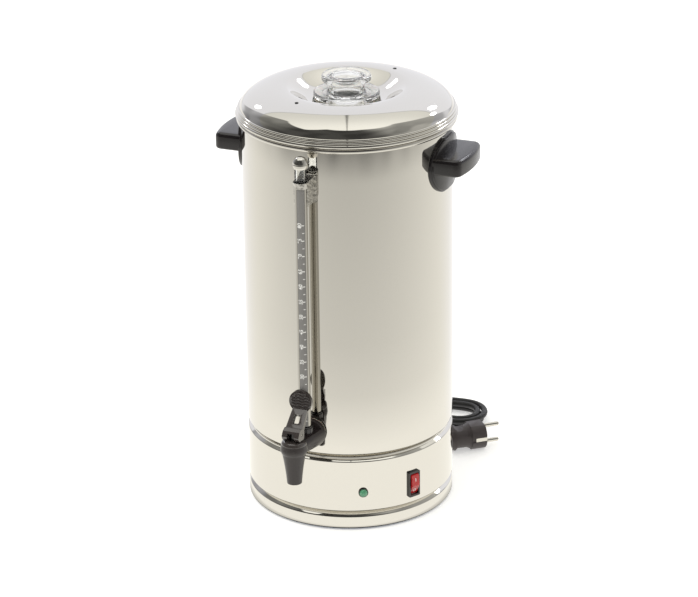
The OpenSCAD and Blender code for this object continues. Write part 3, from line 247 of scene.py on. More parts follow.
FINISH_OF_SLOT = {
    "polished_steel": POLISHED_STEEL, "plain_steel": SATIN_STEEL, "cast_aluminium": CAST_ALUMINIUM,
    "heater_sheath": HEATER_SHEATH, "nickel_brass": NICKEL, "black_plastic": BLACK_PLASTIC,
    "spout_plastic": TAP_NYLON, "ceramic": CERAMIC, "bakelite": BAKELITE, "red_plastic": RED_PLASTIC,
    "green_lens": GREEN_LENS, "foot_rubber": FOOT_RUBBER, "silicone": SILICONE, "clear_knob": CLEAR_KNOB,
    "clear_tube": CLEAR_TUBE, "scale_film": SCALE_FILM, "cord_rubber": CORD_SHEATH, "tie_plastic": TIE_PLASTIC,
}
MATERIALS: dict[str, bpy.types.Material] = {}


def material_of(finish: Finish) -> bpy.types.Material:
    """Give the finish's material, made on its first use."""
    if finish.name not in MATERIALS:
        MATERIALS[finish.name] = finish.build()
    return MATERIALS[finish.name]


def arc(center: tuple[float, float], r: float, start: float, end: float, count: int = 9) -> np.ndarray:
    """Points on a circle between two angles in degrees.

    Args:
        center: centre of the circle.
        r: its radius.
        start: first angle.
        end: last angle.
        count: number of points.

    Returns:
        An array of count points.
    """
    a = np.radians(np.linspace(start, end, count))
    return np.stack([center[0] + r * np.cos(a), center[1] + r * np.sin(a)], axis=1)


def filleted(points: np.ndarray, radii: list[float], count: int = 6) -> np.ndarray:
    """Round the corners of a closed outline: each corner becomes an arc that is tangent to both its sides.

    Args:
        points: corners of the outline.
        radii: radius at each corner, zero for a sharp one.
        count: points of each arc.

    Returns:
        The rounded outline.
    """
    out = []
    for i, r in enumerate(radii):
        p, a, b = points[i], points[i - 1], points[(i + 1) % len(points)]
        if r <= 0:
            out.append(p[None, :])
            continue
        u, v = (a - p) / np.linalg.norm(a - p), (b - p) / np.linalg.norm(b - p)
        half = math.acos(float(np.clip(u @ v, -1, 1))) / 2
        back = min(r / math.tan(half), 0.49 * np.linalg.norm(a - p), 0.49 * np.linalg.norm(b - p))
        s = np.linspace(0, 1, count)[:, None]
        first, last = p + u * back, p + v * back
        # A quadratic curve through the two tangent points stands for the arc
        out.append((1 - s) ** 2 * first + 2 * s * (1 - s) * p + s ** 2 * last)
    return np.concatenate(out)


def revolve(profile: np.ndarray, segments: int = 192) -> np.ndarray:
    """Carry a closed profile of (radius, height) once round the Z axis.

    Args:
        profile: points in millimetres.
        segments: steps round the axis.

    Returns:
        A grid of points, profile by step, in metres.
    """
    turn = np.linspace(0, 2 * np.pi, segments, endpoint=False)
    r, z = profile[:, :1] * MM, profile[:, 1:] * MM
    return np.stack([r * np.sin(turn), -r * np.cos(turn), np.broadcast_to(z, (len(profile), segments))], axis=2)


def grid_faces(rows: int, columns: int, closed_rows: bool, closed_columns: bool) -> np.ndarray:
    """Four-sided faces of a grid of points.

    Args:
        rows: points along the first parameter.
        columns: points along the second parameter.
        closed_rows: whether the first parameter runs round.
        closed_columns: whether the second parameter runs round.

    Returns:
        Corner numbers, four per face.
    """
    i = np.arange(rows if closed_rows else rows - 1)[:, None]
    j = np.arange(columns if closed_columns else columns - 1)[None, :]
    i2, j2 = (i + 1) % rows, (j + 1) % columns
    quads = [i * columns + j, i * columns + j2, i2 * columns + j2, i2 * columns + j]
    return np.stack([np.broadcast_to(q, (i.shape[0], j.shape[1])) for q in quads], axis=2).reshape(-1, 4)


def make_piece(name: str, parts: list[tuple[np.ndarray, np.ndarray]], finish: Finish, body: str,
               sharp_deg: float = 40.0) -> bpy.types.Object:
    """Make one piece from point and face arrays, with closed seams, outward faces and smooth shading.

    Args:
        name: name of the piece.
        parts: pairs of points and faces.
        finish: its material.
        body: CAD body that it rides on.
        sharp_deg: edges that turn more than this stay sharp.

    Returns:
        The piece.
    """
    mesh = bpy.data.meshes.new(name)
    points, faces, offset = [], [], 0
    for p, f in parts:
        flat = p.reshape(-1, 3)
        points.append(flat)
        faces.extend((f + offset).tolist())
        offset += len(flat)
    mesh.from_pydata(np.concatenate(points).tolist(), [], faces)
    tidy = bmesh.new()
    tidy.from_mesh(mesh)
    bmesh.ops.remove_doubles(tidy, verts=tidy.verts, dist=2e-7)
    bmesh.ops.dissolve_degenerate(tidy, edges=tidy.edges, dist=1e-7)
    bmesh.ops.recalc_face_normals(tidy, faces=tidy.faces)
    tidy.to_mesh(mesh)
    tidy.free()
    return dress(name, mesh, finish, body, sharp_deg)


def dress(name: str, mesh: bpy.types.Mesh, finish: Finish, body: str, sharp_deg: float) -> bpy.types.Object:
    """Put a mesh into the scene as a piece that rides on a body.

    Args:
        name: name of the piece.
        mesh: its mesh, in place.
        finish: its material.
        body: CAD body that it rides on.
        sharp_deg: edges that turn more than this stay sharp.

    Returns:
        The piece.
    """
    mesh.materials.clear()
    mesh.materials.append(material_of(finish))
    mesh.polygons.foreach_set("use_smooth", np.ones(len(mesh.polygons), dtype=bool))
    mesh.set_sharp_from_angle(angle=math.radians(sharp_deg))
    piece = bpy.data.objects.new(name, mesh)
    bpy.context.scene.collection.objects.link(piece)
    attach(piece, body)
    log.info("%s: %d faces on %s", name, len(mesh.polygons), body)
    return piece


def revolved_piece(node: str, profile: np.ndarray, center: tuple[float, float] = (0.0, 0.0), segments: int = 192,
                   finish: Finish | None = None) -> bpy.types.Object:
    """Replace a round CAD node by a smooth surface of revolution.

    Args:
        node: node that the piece stands for.
        profile: closed outline of (radius, height) in millimetres.
        center: place of the axis in millimetres.
        segments: steps round the axis.
        finish: material, or that of the node's slot.

    Returns:
        The piece.
    """
    grid = revolve(profile, segments) + np.array([center[0] * MM, center[1] * MM, 0])
    faces = grid_faces(len(profile), segments, True, True)
    slot = SLOT_OF[node]
    piece = make_piece(f"{node}_skin", [(grid, faces)], finish or FINISH_OF_SLOT[slot], BODY_OF[node])
    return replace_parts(piece, node)


def refined_node(node: str, edge: Edge = Edge.CRISP, finish: Finish | None = None, sharp_deg: float = 32.0,
                 reshape: Callable[[np.ndarray], np.ndarray] | None = None) -> bpy.types.Object:
    """Replace a CAD node by a merged copy with smooth shading and rounded edges.

    Args:
        node: node that the piece stands for.
        edge: how far its edges are rounded.
        finish: material, or that of the node's slot.
        sharp_deg: edges that turn more than this are rounded.
        reshape: moves the copy's points, given and returned in millimetres.

    Returns:
        The piece.
    """
    mesh = frame["nodes"][node].data.copy()
    if reshape is not None:
        points = np.empty(len(mesh.vertices) * 3)
        mesh.vertices.foreach_get("co", points)
        mesh.vertices.foreach_set("co", (reshape(points.reshape(-1, 3) / MM) * MM).ravel())
    tidy = bmesh.new()
    tidy.from_mesh(mesh)
    bmesh.ops.remove_doubles(tidy, verts=tidy.verts, dist=2e-6)
    bmesh.ops.dissolve_limit(tidy, angle_limit=math.radians(0.6), verts=tidy.verts, edges=tidy.edges)
    tidy.to_mesh(mesh)
    tidy.free()
    slot = SLOT_OF[node]
    piece = dress(f"{node}_skin", mesh, finish or FINISH_OF_SLOT[slot], BODY_OF[node], sharp_deg)
    bevel = piece.modifiers.new("rounded_edges", "BEVEL")
    bevel.width = edge.value * MM
    bevel.segments = 2
    bevel.limit_method = "ANGLE"
    bevel.angle_limit = math.radians(sharp_deg)
    bevel.harden_normals = True
    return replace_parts(piece, node)


@dataclass
class Shells:
    """The tank, the base skirt and the bottom pan, as sheet with rolled edges. Millimetres."""

    r: float = 110.0
    sheet: float = 1.0
    flange_r: float = 100.0
    tank_z: float = 90.5
    tank_edge: float = 4.5
    rim_z: float = 425.8
    bead: float = 2.6
    skirt_z: float = 21.4
    skirt_edge: float = 2.3
    skirt_top: float = 78.1
    shoulder: float = 7.5
    pan_z: float = 1.8
    pan_edge: float = 1.6
    pan_top: float = 12.0
    pan_shoulder: float = 9.0

    def tank(self) -> np.ndarray:
        """Outline of the tank sheet: flange, rolled lower edge, wall and rolled rim bead."""
        r, t, e, z = self.r, self.sheet, self.tank_edge, self.tank_z
        bead_r = r + self.bead - 0.4
        low = z - e
        return np.concatenate([
            [[self.flange_r, low]],
            arc((r - e, z), e, -90, 0, 12),
            # Points close to the ends of a wall keep its mirror image straight
            [[r, z + 0.3], [r, self.rim_z - 2.9], [r, self.rim_z - 2.6]],
            arc((bead_r, self.rim_z), self.bead, 205, 480, 30),
            arc((r - 0.4, self.rim_z + 1.2), 0.6, 90, 180, 5),
            [[r - t, z]],
            arc((r - e, z), e - t, 0, -90, 12),
            [[self.flange_r, low + t]],
        ])

    def skirt(self) -> np.ndarray:
        """Outline of the skirt sheet between its lower hem and its stepped upper shoulder."""
        r, t, e = self.r, self.sheet, self.skirt_edge
        low, high = self.skirt_z + e, self.skirt_top + self.shoulder
        corners = np.array([[r, low + 0.3], [r, high - 7.8], [r, high - 6.3], [r - 3.5, high - 3.9],
                            [r - 3.7, high - 2.2], [r - 7.2, high - 0.5], [self.flange_r, high]])
        shoulder = filleted(corners, [0, 0, 1.6, 0.4, 1.0, 1.5, 0])
        return np.concatenate([
            [[self.flange_r - 2, self.skirt_z]],
            arc((r - e, low), e, -90, 0, 10),
            shoulder,
            (shoulder - [t, 0.8 * t])[::-1],
            arc((r - e, low), e - t, 0, -90, 10),
            [[self.flange_r - 2, self.skirt_z + t]],
        ])

    def pan(self) -> np.ndarray:
        """Outline of the bottom pan from its middle to its inward flange."""
        r, t, e = self.r, self.sheet, self.pan_edge
        high = self.pan_top + self.pan_shoulder
        corners = np.array([[r, self.pan_z + e + 0.3], [r, high - 7.6], [r, high - 5.6], [r - 5.4, high - 1.2],
                            [self.flange_r - 2, high]])
        shoulder = filleted(corners, [0, 0, 2.6, 2.0, 0])
        return np.concatenate([
            [[0.0, self.pan_z]],
            arc((r - e, self.pan_z + e), e, -90, 0, 10),
            shoulder,
            (shoulder - [t, 0.8 * t])[::-1],
            arc((r - e, self.pan_z + e), e - t, 0, -90, 10),
            [[0.0, self.pan_z + t]],
        ])

    def build(self) -> None:
        """Make the three shells."""
        tank = revolved_piece("tank_shell", self.tank(), segments=256).data
        tank.materials.append(material_of(DRAWN_STEEL))
        middles = np.empty(len(tank.polygons) * 3)
        tank.polygons.foreach_get("center", middles)
        x, y, z = middles.reshape(-1, 3).T / MM
        inside = (np.hypot(x, y) < self.r - self.sheet / 2) & (z > self.tank_z)
        tank.polygons.foreach_set("material_index", inside.astype(np.int32))
        revolved_piece("base_skirt", self.skirt(), segments=256)
        revolved_piece("bottom_pan", self.pan(), segments=256)


@dataclass
class Lid:
    """The domed lid with its pressed ridges, its vent holes and the clear knob. Millimetres."""

    side_r: float = 112.1
    sheet: float = 0.9
    spring_z: float = 434.6
    span: float = 44.1
    rise: float = 23.6
    seat_r: float = 42.0
    slope_end_r: float = 62.0
    slope_softness: float = 0.3
    seat_z: float = 446.6
    hole_r: float = 20.2
    vent_r: float = 1.5
    vent_pitch_r: float = 74.0
    knob_z: float = 447.9
    knob_h: float = 23.0

    def pressed_slope(self, drop: float) -> np.ndarray:
        """Slope from the crest down to the seat: a cone whose two ends run out softly."""
        s = np.linspace(1, 0, 24)
        r = self.seat_r + s * (self.slope_end_r - self.seat_r)
        soft = self.slope_softness * s * s * (3 - 2 * s) + (1 - self.slope_softness) * s
        z = self.seat_z + (self.spring_z + self.rise - self.seat_z) * soft
        return np.stack([r, z - drop], axis=1)

    def dome(self, offset: float, start: float) -> np.ndarray:
        """Elliptical shoulder from its side up to its crest."""
        a = np.radians(np.linspace(start, 90, 40))
        crest_r = self.side_r - self.span
        return np.stack([crest_r + (self.span - offset) * np.cos(a),
                         self.spring_z + (self.rise - offset) * np.sin(a)], axis=1)

    def shell(self) -> np.ndarray:
        """Outline of the lid sheet: hem, two ridges, dome, slope and seat, and back underneath."""
        r = self.side_r
        return np.concatenate([
            arc((r + 1.8, self.spring_z - 3.8), 2.1, 200, 454, 26),
            arc((r + 0.9, self.spring_z - 0.4), 1.5, -60, 108, 16),
            arc((r - 0.1, self.spring_z + 2.4), 1.4, -72, 108, 16),
            self.dome(0.0, 10.0),
            self.pressed_slope(0.0),
            [[self.hole_r, self.seat_z], [self.hole_r, self.seat_z - self.sheet]],
            self.pressed_slope(self.sheet)[::-1],
            self.dome(self.sheet, 0.0)[::-1],
        ])

    def knob(self) -> np.ndarray:
        """Outline of the hollow knob: collar, flange, waisted neck and button."""
        z, top = self.knob_z, self.knob_z + self.knob_h
        corners = np.array([
            [15.0, z - 5.8], [19.5, z - 5.8], [19.5, z], [34.5, z], [34.5, z + 5], [19.6, z + 5], [18.0, z + 8],
            [18.0, top - 8.6], [20.2, top - 7], [26.0, top - 7], [26.0, top], [0.0, top],
            [0.0, top - 3], [15.0, top - 3],
        ])
        return filleted(corners, [0.4, 0.6, 0.5, 0.8, 2.4, 2.0, 2.4, 2.0, 1.4, 3.0, 2.8, 0, 0, 2.5], 7)

    def vents(self) -> bpy.types.Object:
        """Turned-down eyelets of the two vent holes, each a small ring that dips into a shaded bore."""
        crest_r = self.side_r - self.span
        dz = self.rise * math.sqrt(1 - ((self.vent_pitch_r - crest_r) / self.span) ** 2)
        z = (self.spring_z + dz) * MM
        profile = np.array([[self.vent_r + 0.5, 0.02], [self.vent_r + 0.2, 0.10], [self.vent_r, 0.02],
                            [self.vent_r - 0.1, -0.25], [0.0, -0.25]])
        parts = []
        for az in (-22.0, 158.0):
            a = math.radians(az)
            at = np.array([self.vent_pitch_r * MM * math.sin(a), -self.vent_pitch_r * MM * math.cos(a), z + 0.3 * MM])
            parts.append((revolve(profile, 32) + at, grid_faces(len(profile), 32, False, True)))
        return make_piece("vent_eyelets", parts, VENT_SHADE, "lid")

    def build(self) -> None:
        """Make the lid and what is fixed to it."""
        revolved_piece("lid_shell", self.shell(), segments=256)
        revolved_piece("lid_knob", self.knob(), segments=160)
        self.vents()
        refined_node("lid_ring")
        refined_node("knob_gasket")


@dataclass
class Gauge:
    """The sight tube with its printed scale, cap, clip and gland nut. Millimetres."""

    y: float = -129.0
    r: float = 6.2
    bore: float = 4.4
    low: float = 114.2
    high: float = 413.0
    film_r: float = 6.53
    film_turn: float = 18.0
    top_mark_z: float = 352.0
    pitch: float = 16.7
    top_cups: int = 80
    low_cups: int = 15
    number_size: float = 5.6

    def on_film(self, turn_mm: np.ndarray, z: np.ndarray, lift: float) -> np.ndarray:
        """Wrap flat points round the tube.

        Args:
            turn_mm: distance round the tube from the film's middle, to the right as seen.
            z: height in millimetres.
            lift: distance off the film.

        Returns:
            Points in metres.
        """
        r = self.film_r + lift
        a = turn_mm / self.film_r + math.radians(self.film_turn)
        return np.stack([r * np.sin(a), self.y - r * np.cos(a), z], axis=-1) * MM

    def marks(self) -> bpy.types.Object:
        """Long marks every five cups and short ones between, as thin curved bars on the film's right half."""
        count = 2 * (self.top_cups - self.low_cups) // 5 + 1
        z = self.top_mark_z - np.arange(count) * self.pitch / 2
        half = np.where(np.arange(count) % 2 == 0, 0.45, 0.34)
        start = np.where(np.arange(count) % 2 == 0, 0.3, 1.2)
        s = np.linspace(0, 1, 6)
        parts = []
        for k in range(count):
            turn = start[k] + s * (3.3 - start[k])
            rows = np.stack([self.on_film(turn, np.full(6, z[k] + d), 0.03) for d in (-half[k], half[k])])
            parts.append((rows, grid_faces(2, 6, False, False)))
        return make_piece("scale_marks", parts, SCALE_INK, "urn")

    def numerals(self) -> bpy.types.Object:
        """Cup numbers that run up the tube: flat text whose x becomes height and whose y turns to the left."""
        points, faces = [], []
        for k, cups in enumerate(range(self.top_cups, self.low_cups - 1, -5)):
            words = bpy.data.curves.new("cup_number", "FONT")
            words.body = str(cups)
            words.size = self.number_size
            words.align_x = "CENTER"
            words.resolution_u = 3
            words.offset = 0.08
            holder = bpy.data.objects.new("cup_number", words)
            bpy.context.scene.collection.objects.link(holder)
            flat = holder.to_mesh()
            xy = np.empty(len(flat.vertices) * 3)
            flat.vertices.foreach_get("co", xy)
            xy = xy.reshape(-1, 3)
            offset = sum(map(len, points))
            faces.extend([v + offset for v in face.vertices] for face in flat.polygons)
            points.append(self.on_film(0.2 - xy[:, 1], self.top_mark_z - k * self.pitch + xy[:, 0], 0.03))
            holder.to_mesh_clear()
            bpy.data.objects.remove(holder)
        mesh = bpy.data.meshes.new("scale_numbers")
        mesh.from_pydata(np.concatenate(points).tolist(), [], faces)
        return dress("scale_numbers", mesh, SCALE_INK, "urn", 40.0)

    def build(self) -> None:
        """Make the gauge."""
        tube = np.array([[self.bore, self.low], [self.r, self.low], [self.r, self.high], [self.bore, self.high]])
        revolved_piece("gauge_tube", filleted(tube, [0, 0.3, 0.4, 0.3], 4), (0, self.y), 64)
        refined_node("gauge_scale", sharp_deg=50)
        refined_node("gauge_backing", finish=TARNISHED_STRIP, sharp_deg=50)
        cap_z, r = self.high + 3.0, self.r + 1.9
        seat_r, seat_z = self.r + 0.15, self.high + 0.15
        cap = np.concatenate([[[1.5, seat_z], [seat_r, seat_z], [seat_r, self.high - 1.4]],
                              arc((0, cap_z), r, -33, -3.5, 10), arc((r, cap_z), 0.3, -70, 70, 5),
                              arc((0, cap_z), r, 3.5, 79, 26), [[1.5, cap_z + r - 0.4]]])
        revolved_piece("gauge_cap", cap, (0, self.y), 64)
        refined_node("gauge_clip", finish=CHROMED_STRAP)
        for node in ("clip_screw", "gauge_gland_nut", "gauge_seal"):
            refined_node(node)
        self.marks()
        self.numerals()


@dataclass
class Tap:
    """The pull tap: body, bonnet, lever and valve. Millimetres."""

    thumb_z: float = 159.0
    thumb_y: float = -140.05
    thumb_r: float = 10.6
    rib_pitch: float = 3.2
    rib_height: float = 2.1
    rib_sway: float = 0.55
    sway_length: float = 8.0
    axis_y: float = -160.0
    bonnet_r: tuple[float, float, float] = (3.55, 10.05, 13.2)
    bonnet_z: tuple[float, float, float] = (116.0, 119.95, 124.5)
    bonnet_flat_r: float = 8.2

    def bonnet(self) -> np.ndarray:
        """Outline of the bonnet: its neck in the chamber and a smooth dome, bored for the stem."""
        bore, neck, r = self.bonnet_r
        low, base, top = self.bonnet_z
        a = np.radians(np.linspace(0, 90, 14))
        flat = self.bonnet_flat_r
        dome = np.stack([flat + (r - flat) * np.cos(a), base + (top - base) * np.sin(a)], axis=1)
        return np.concatenate([[[bore, low], [neck, low], [neck, base]], dome, [[bore, top]]])

    def sink_ribs(self, points: np.ndarray) -> np.ndarray:
        """Lower the plain ribs of the lever's copy to the floor of the thumb plate."""
        x, y, z = points.T
        ribs = (np.hypot(x, z - self.thumb_z) < self.thumb_r) & (y < self.thumb_y)
        return np.stack([x, np.where(ribs, self.thumb_y, y), z], axis=1)

    def thumb_ribs(self) -> bpy.types.Object:
        """Wavy ribs of the thumb plate: a round field of waves whose crests sway from side to side."""
        turn = np.linspace(0, 2 * np.pi, 128, endpoint=False)
        r = np.linspace(0, self.thumb_r, 64)[:, None]
        x, z = r * np.sin(turn), r * np.cos(turn)
        phase = 2 * np.pi * (z + self.rib_sway * np.sin(2 * np.pi * x / self.sway_length)) / self.rib_pitch
        edge = np.clip((self.thumb_r - r) / 1.0, 0, 1)
        # Narrow crests over wide valleys, which stay in the shade
        y = self.thumb_y - self.rib_height * edge * ((1 + np.cos(phase)) / 2) ** 2
        front = np.stack([x, y, self.thumb_z + z], axis=2)
        back = np.stack([front[-1] + [0, 0.4, 0], front[-1] * 0 + [0, self.thumb_y + 0.4, self.thumb_z]])
        grid = np.concatenate([front, back]) * MM
        return make_piece("thumb_ribs", [(grid, grid_faces(*grid.shape[:2], False, True))], GLOSSY_NYLON, "lever",
                          60.0)

    def build(self) -> None:
        """Make the tap's pieces."""
        refined_node("tap_body", Edge.MOULDED, sharp_deg=38)
        revolved_piece("tap_bonnet", self.bonnet(), (0, self.axis_y), 96, GLOSSY_NYLON)
        refined_node("tap_lever", Edge.MOULDED, GLOSSY_NYLON, reshape=self.sink_ribs)
        self.thumb_ribs()
        for node in ("lever_pin", "valve_stem", "seat_cup", "tap_nut", "tap_inner_washer", "tap_outer_washer"):
            refined_node(node)


@dataclass
class Handles:
    """The two carrying handles: an oval wall plate in two steps and a bowed, hollow grip. Millimetres."""

    wall_r: float = 110.2
    plate_half: tuple[float, float] = (37.0, 29.5)
    plate_z: float = 388.5
    plate_corner: float = 29.0
    grip_half: float = 35.0
    low: float = 384.0
    top: float = 402.0
    reach: float = 140.0
    bow_r: float = 125.0
    corner: float = 8.0
    top_edge: float = 5.0
    low_edge: float = 2.5
    crown: float = 0.5
    recess_x: tuple[float, float] = (118.0, 134.0)
    recess_half: float = 27.0
    recess_top: float = 395.5

    def plan(self, inset: float) -> np.ndarray:
        """Outline of the grip from above, drawn in on every side but the wall.

        Args:
            inset: distance that the sides and the bow are drawn in.

        Returns:
            Points of x and y, always the same number of them.
        """
        half, bow_r, corner = self.grip_half - inset, self.bow_r - inset, self.corner - inset
        middle, corner_y = self.reach - self.bow_r, half - corner
        corner_x = middle + math.sqrt((bow_r - corner) ** 2 - corner_y ** 2)
        end = math.degrees(math.asin(corner_y / (bow_r - corner)))
        y = np.linspace(half, -half, 24)
        return np.concatenate([
            np.stack([np.sqrt(self.wall_r ** 2 - y ** 2), y], axis=1),
            arc((corner_x, -corner_y), corner, -90, -end),
            arc((middle, 0), bow_r, -end, end, 24),
            arc((corner_x, corner_y), corner, end, 90),
        ])

    def grip(self) -> np.ndarray:
        """Rows of the grip from the middle of its top, over the rounded edges, into the finger recess."""
        rim, foot = self.plan(self.top_edge), self.plan(self.low_edge)
        sides = (-self.recess_half, self.recess_half)
        recess_low, recess_high = (np.array(corner) for corner in zip(self.recess_x, sides))
        recess, middle = np.clip(foot, recess_low, recess_high), (recess_low + recess_high) / 2
        rows = [(middle + s * (rim - middle), self.top + self.crown * (1 - s * s)) for s in np.linspace(0, 1, 8)]
        rows += [(self.plan(self.top_edge * (1 - c)), self.top - self.top_edge * (1 - s))
                 for c, s in arc((0, 0), 1, 90, 0, 9)[1:]]
        rows += [(self.plan(self.low_edge * (1 - c)), self.low + self.low_edge * (1 + s))
                 for c, s in arc((0, 0), 1, 0, -90, 6)]
        rows += [(recess, self.low), (recess, self.recess_top), (middle + 0 * recess, self.recess_top)]
        return np.stack([np.column_stack([xy, np.full(len(xy), z)]) for xy, z in rows])

    def wall_plate(self) -> np.ndarray:
        """Rows of the oval plate from the middle of its back, over its two steps, to the middle of its face."""
        rows = []
        for scale, inset, r in ((0, 0, 0), (1, 0, 0), (1, 0, 1.7), (1, 0.35, 2.05), (1, 1.5, 2.05), (1, 1.5, 3.5),
                                (1, 1.8, 3.95), (1, 2.4, 4.15), (0.6, 2.4, 4.15), (0, 2.4, 4.15)):
            corner = self.plate_corner - inset
            half = np.array(self.plate_half) - inset - corner
            ring = np.concatenate([arc((a * half[0], b * half[1]), corner, start, start + 90, 12)
                                   for a, b, start in ((1, 1, 0), (-1, 1, 90), (-1, -1, 180), (1, -1, 270))]) * scale
            rows.append(np.column_stack([np.sqrt((self.wall_r + r) ** 2 - ring[:, 0] ** 2), ring[:, 0],
                                         self.plate_z + ring[:, 1]]))
        return np.stack(rows)

    def build(self) -> None:
        """Make both handles and what fixes them."""
        for node, side in (("right_handle", 1), ("left_handle", -1)):
            grids = [grid * MM * np.array([side, 1, 1]) for grid in (self.grip(), self.wall_plate())]
            parts = [(grid, grid_faces(*grid.shape[:2], False, True)) for grid in grids]
            slot = SLOT_OF[node]
            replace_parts(make_piece(f"{node}_skin", parts, FINISH_OF_SLOT[slot], BODY_OF[node]), node)
        refined_node("handle_screws")
        refined_node("handle_washers")


@dataclass
class Panel:
    """The rocker switch and the pilot lamp in the skirt. Millimetres and degrees."""

    switch_az: float = 58.2
    switch_z: float = 43.8
    pivot_r: float = 108.5
    rest_tilt: float = 10.0
    ridge: float = 6.6
    ends: float = 3.4
    rocker_r: float = 11.75

    def on_rocker(self, x: np.ndarray, z: np.ndarray) -> np.ndarray:
        """Lay flat points on the rocker's face, which is a shallow roof, and turn them to its place.

        Args:
            x: distance to the right on the face, in millimetres.
            z: distance up the face.

        Returns:
            Points in metres.
        """
        y = -(self.ridge + (self.ends - self.ridge) * np.abs(z) / self.rocker_r) - 0.04
        tilt = math.radians(self.rest_tilt)
        y, z = y * math.cos(tilt) - z * math.sin(tilt), y * math.sin(tilt) + z * math.cos(tilt)
        y = y - self.pivot_r
        a = math.radians(self.switch_az)
        across, out = x * math.cos(a) - y * math.sin(a), x * math.sin(a) + y * math.cos(a)
        return np.stack([across, out, z + self.switch_z], axis=-1) * MM

    def switch_marks(self) -> bpy.types.Object:
        """The line and the ring that mark on and off."""
        s = np.linspace(0, 1, 4)
        bar = np.stack([self.on_rocker(np.full(4, d), 4.6 + 3.6 * s) for d in (-0.4, 0.4)])
        a = np.linspace(0, 2 * np.pi, 28, endpoint=False)
        ring = np.stack([self.on_rocker(r * np.cos(a), -6.4 + r * np.sin(a)) for r in (1.2, 1.9)])
        parts = [(bar, grid_faces(2, 4, False, False)), (ring, grid_faces(2, 28, False, True))]
        return make_piece("switch_marks", parts, SCALE_INK, "rocker")

    def build(self) -> None:
        """Make the switch and the lamp."""
        for node in ("switch_housing", "switch_rocker", "pilot_holder", "pilot_lens"):
            refined_node(node)
        self.switch_marks()


@dataclass
class Inside:
    """What the lid, the tank and the base hold."""

    def build(self) -> None:
        """Make the inner pieces."""
        for node in ("tank_floor", "rubber_feet", "base_posts", "base_screws", "heater_plate", "main_heater",
                     "keep_warm_heater", "thermostat", "thermal_cutout", "terminal_block", "pump_tube", "pump_base",
                     "pump_washer", "coffee_basket", "basket_strainer", "basket_spreader"):
            refined_node(node)


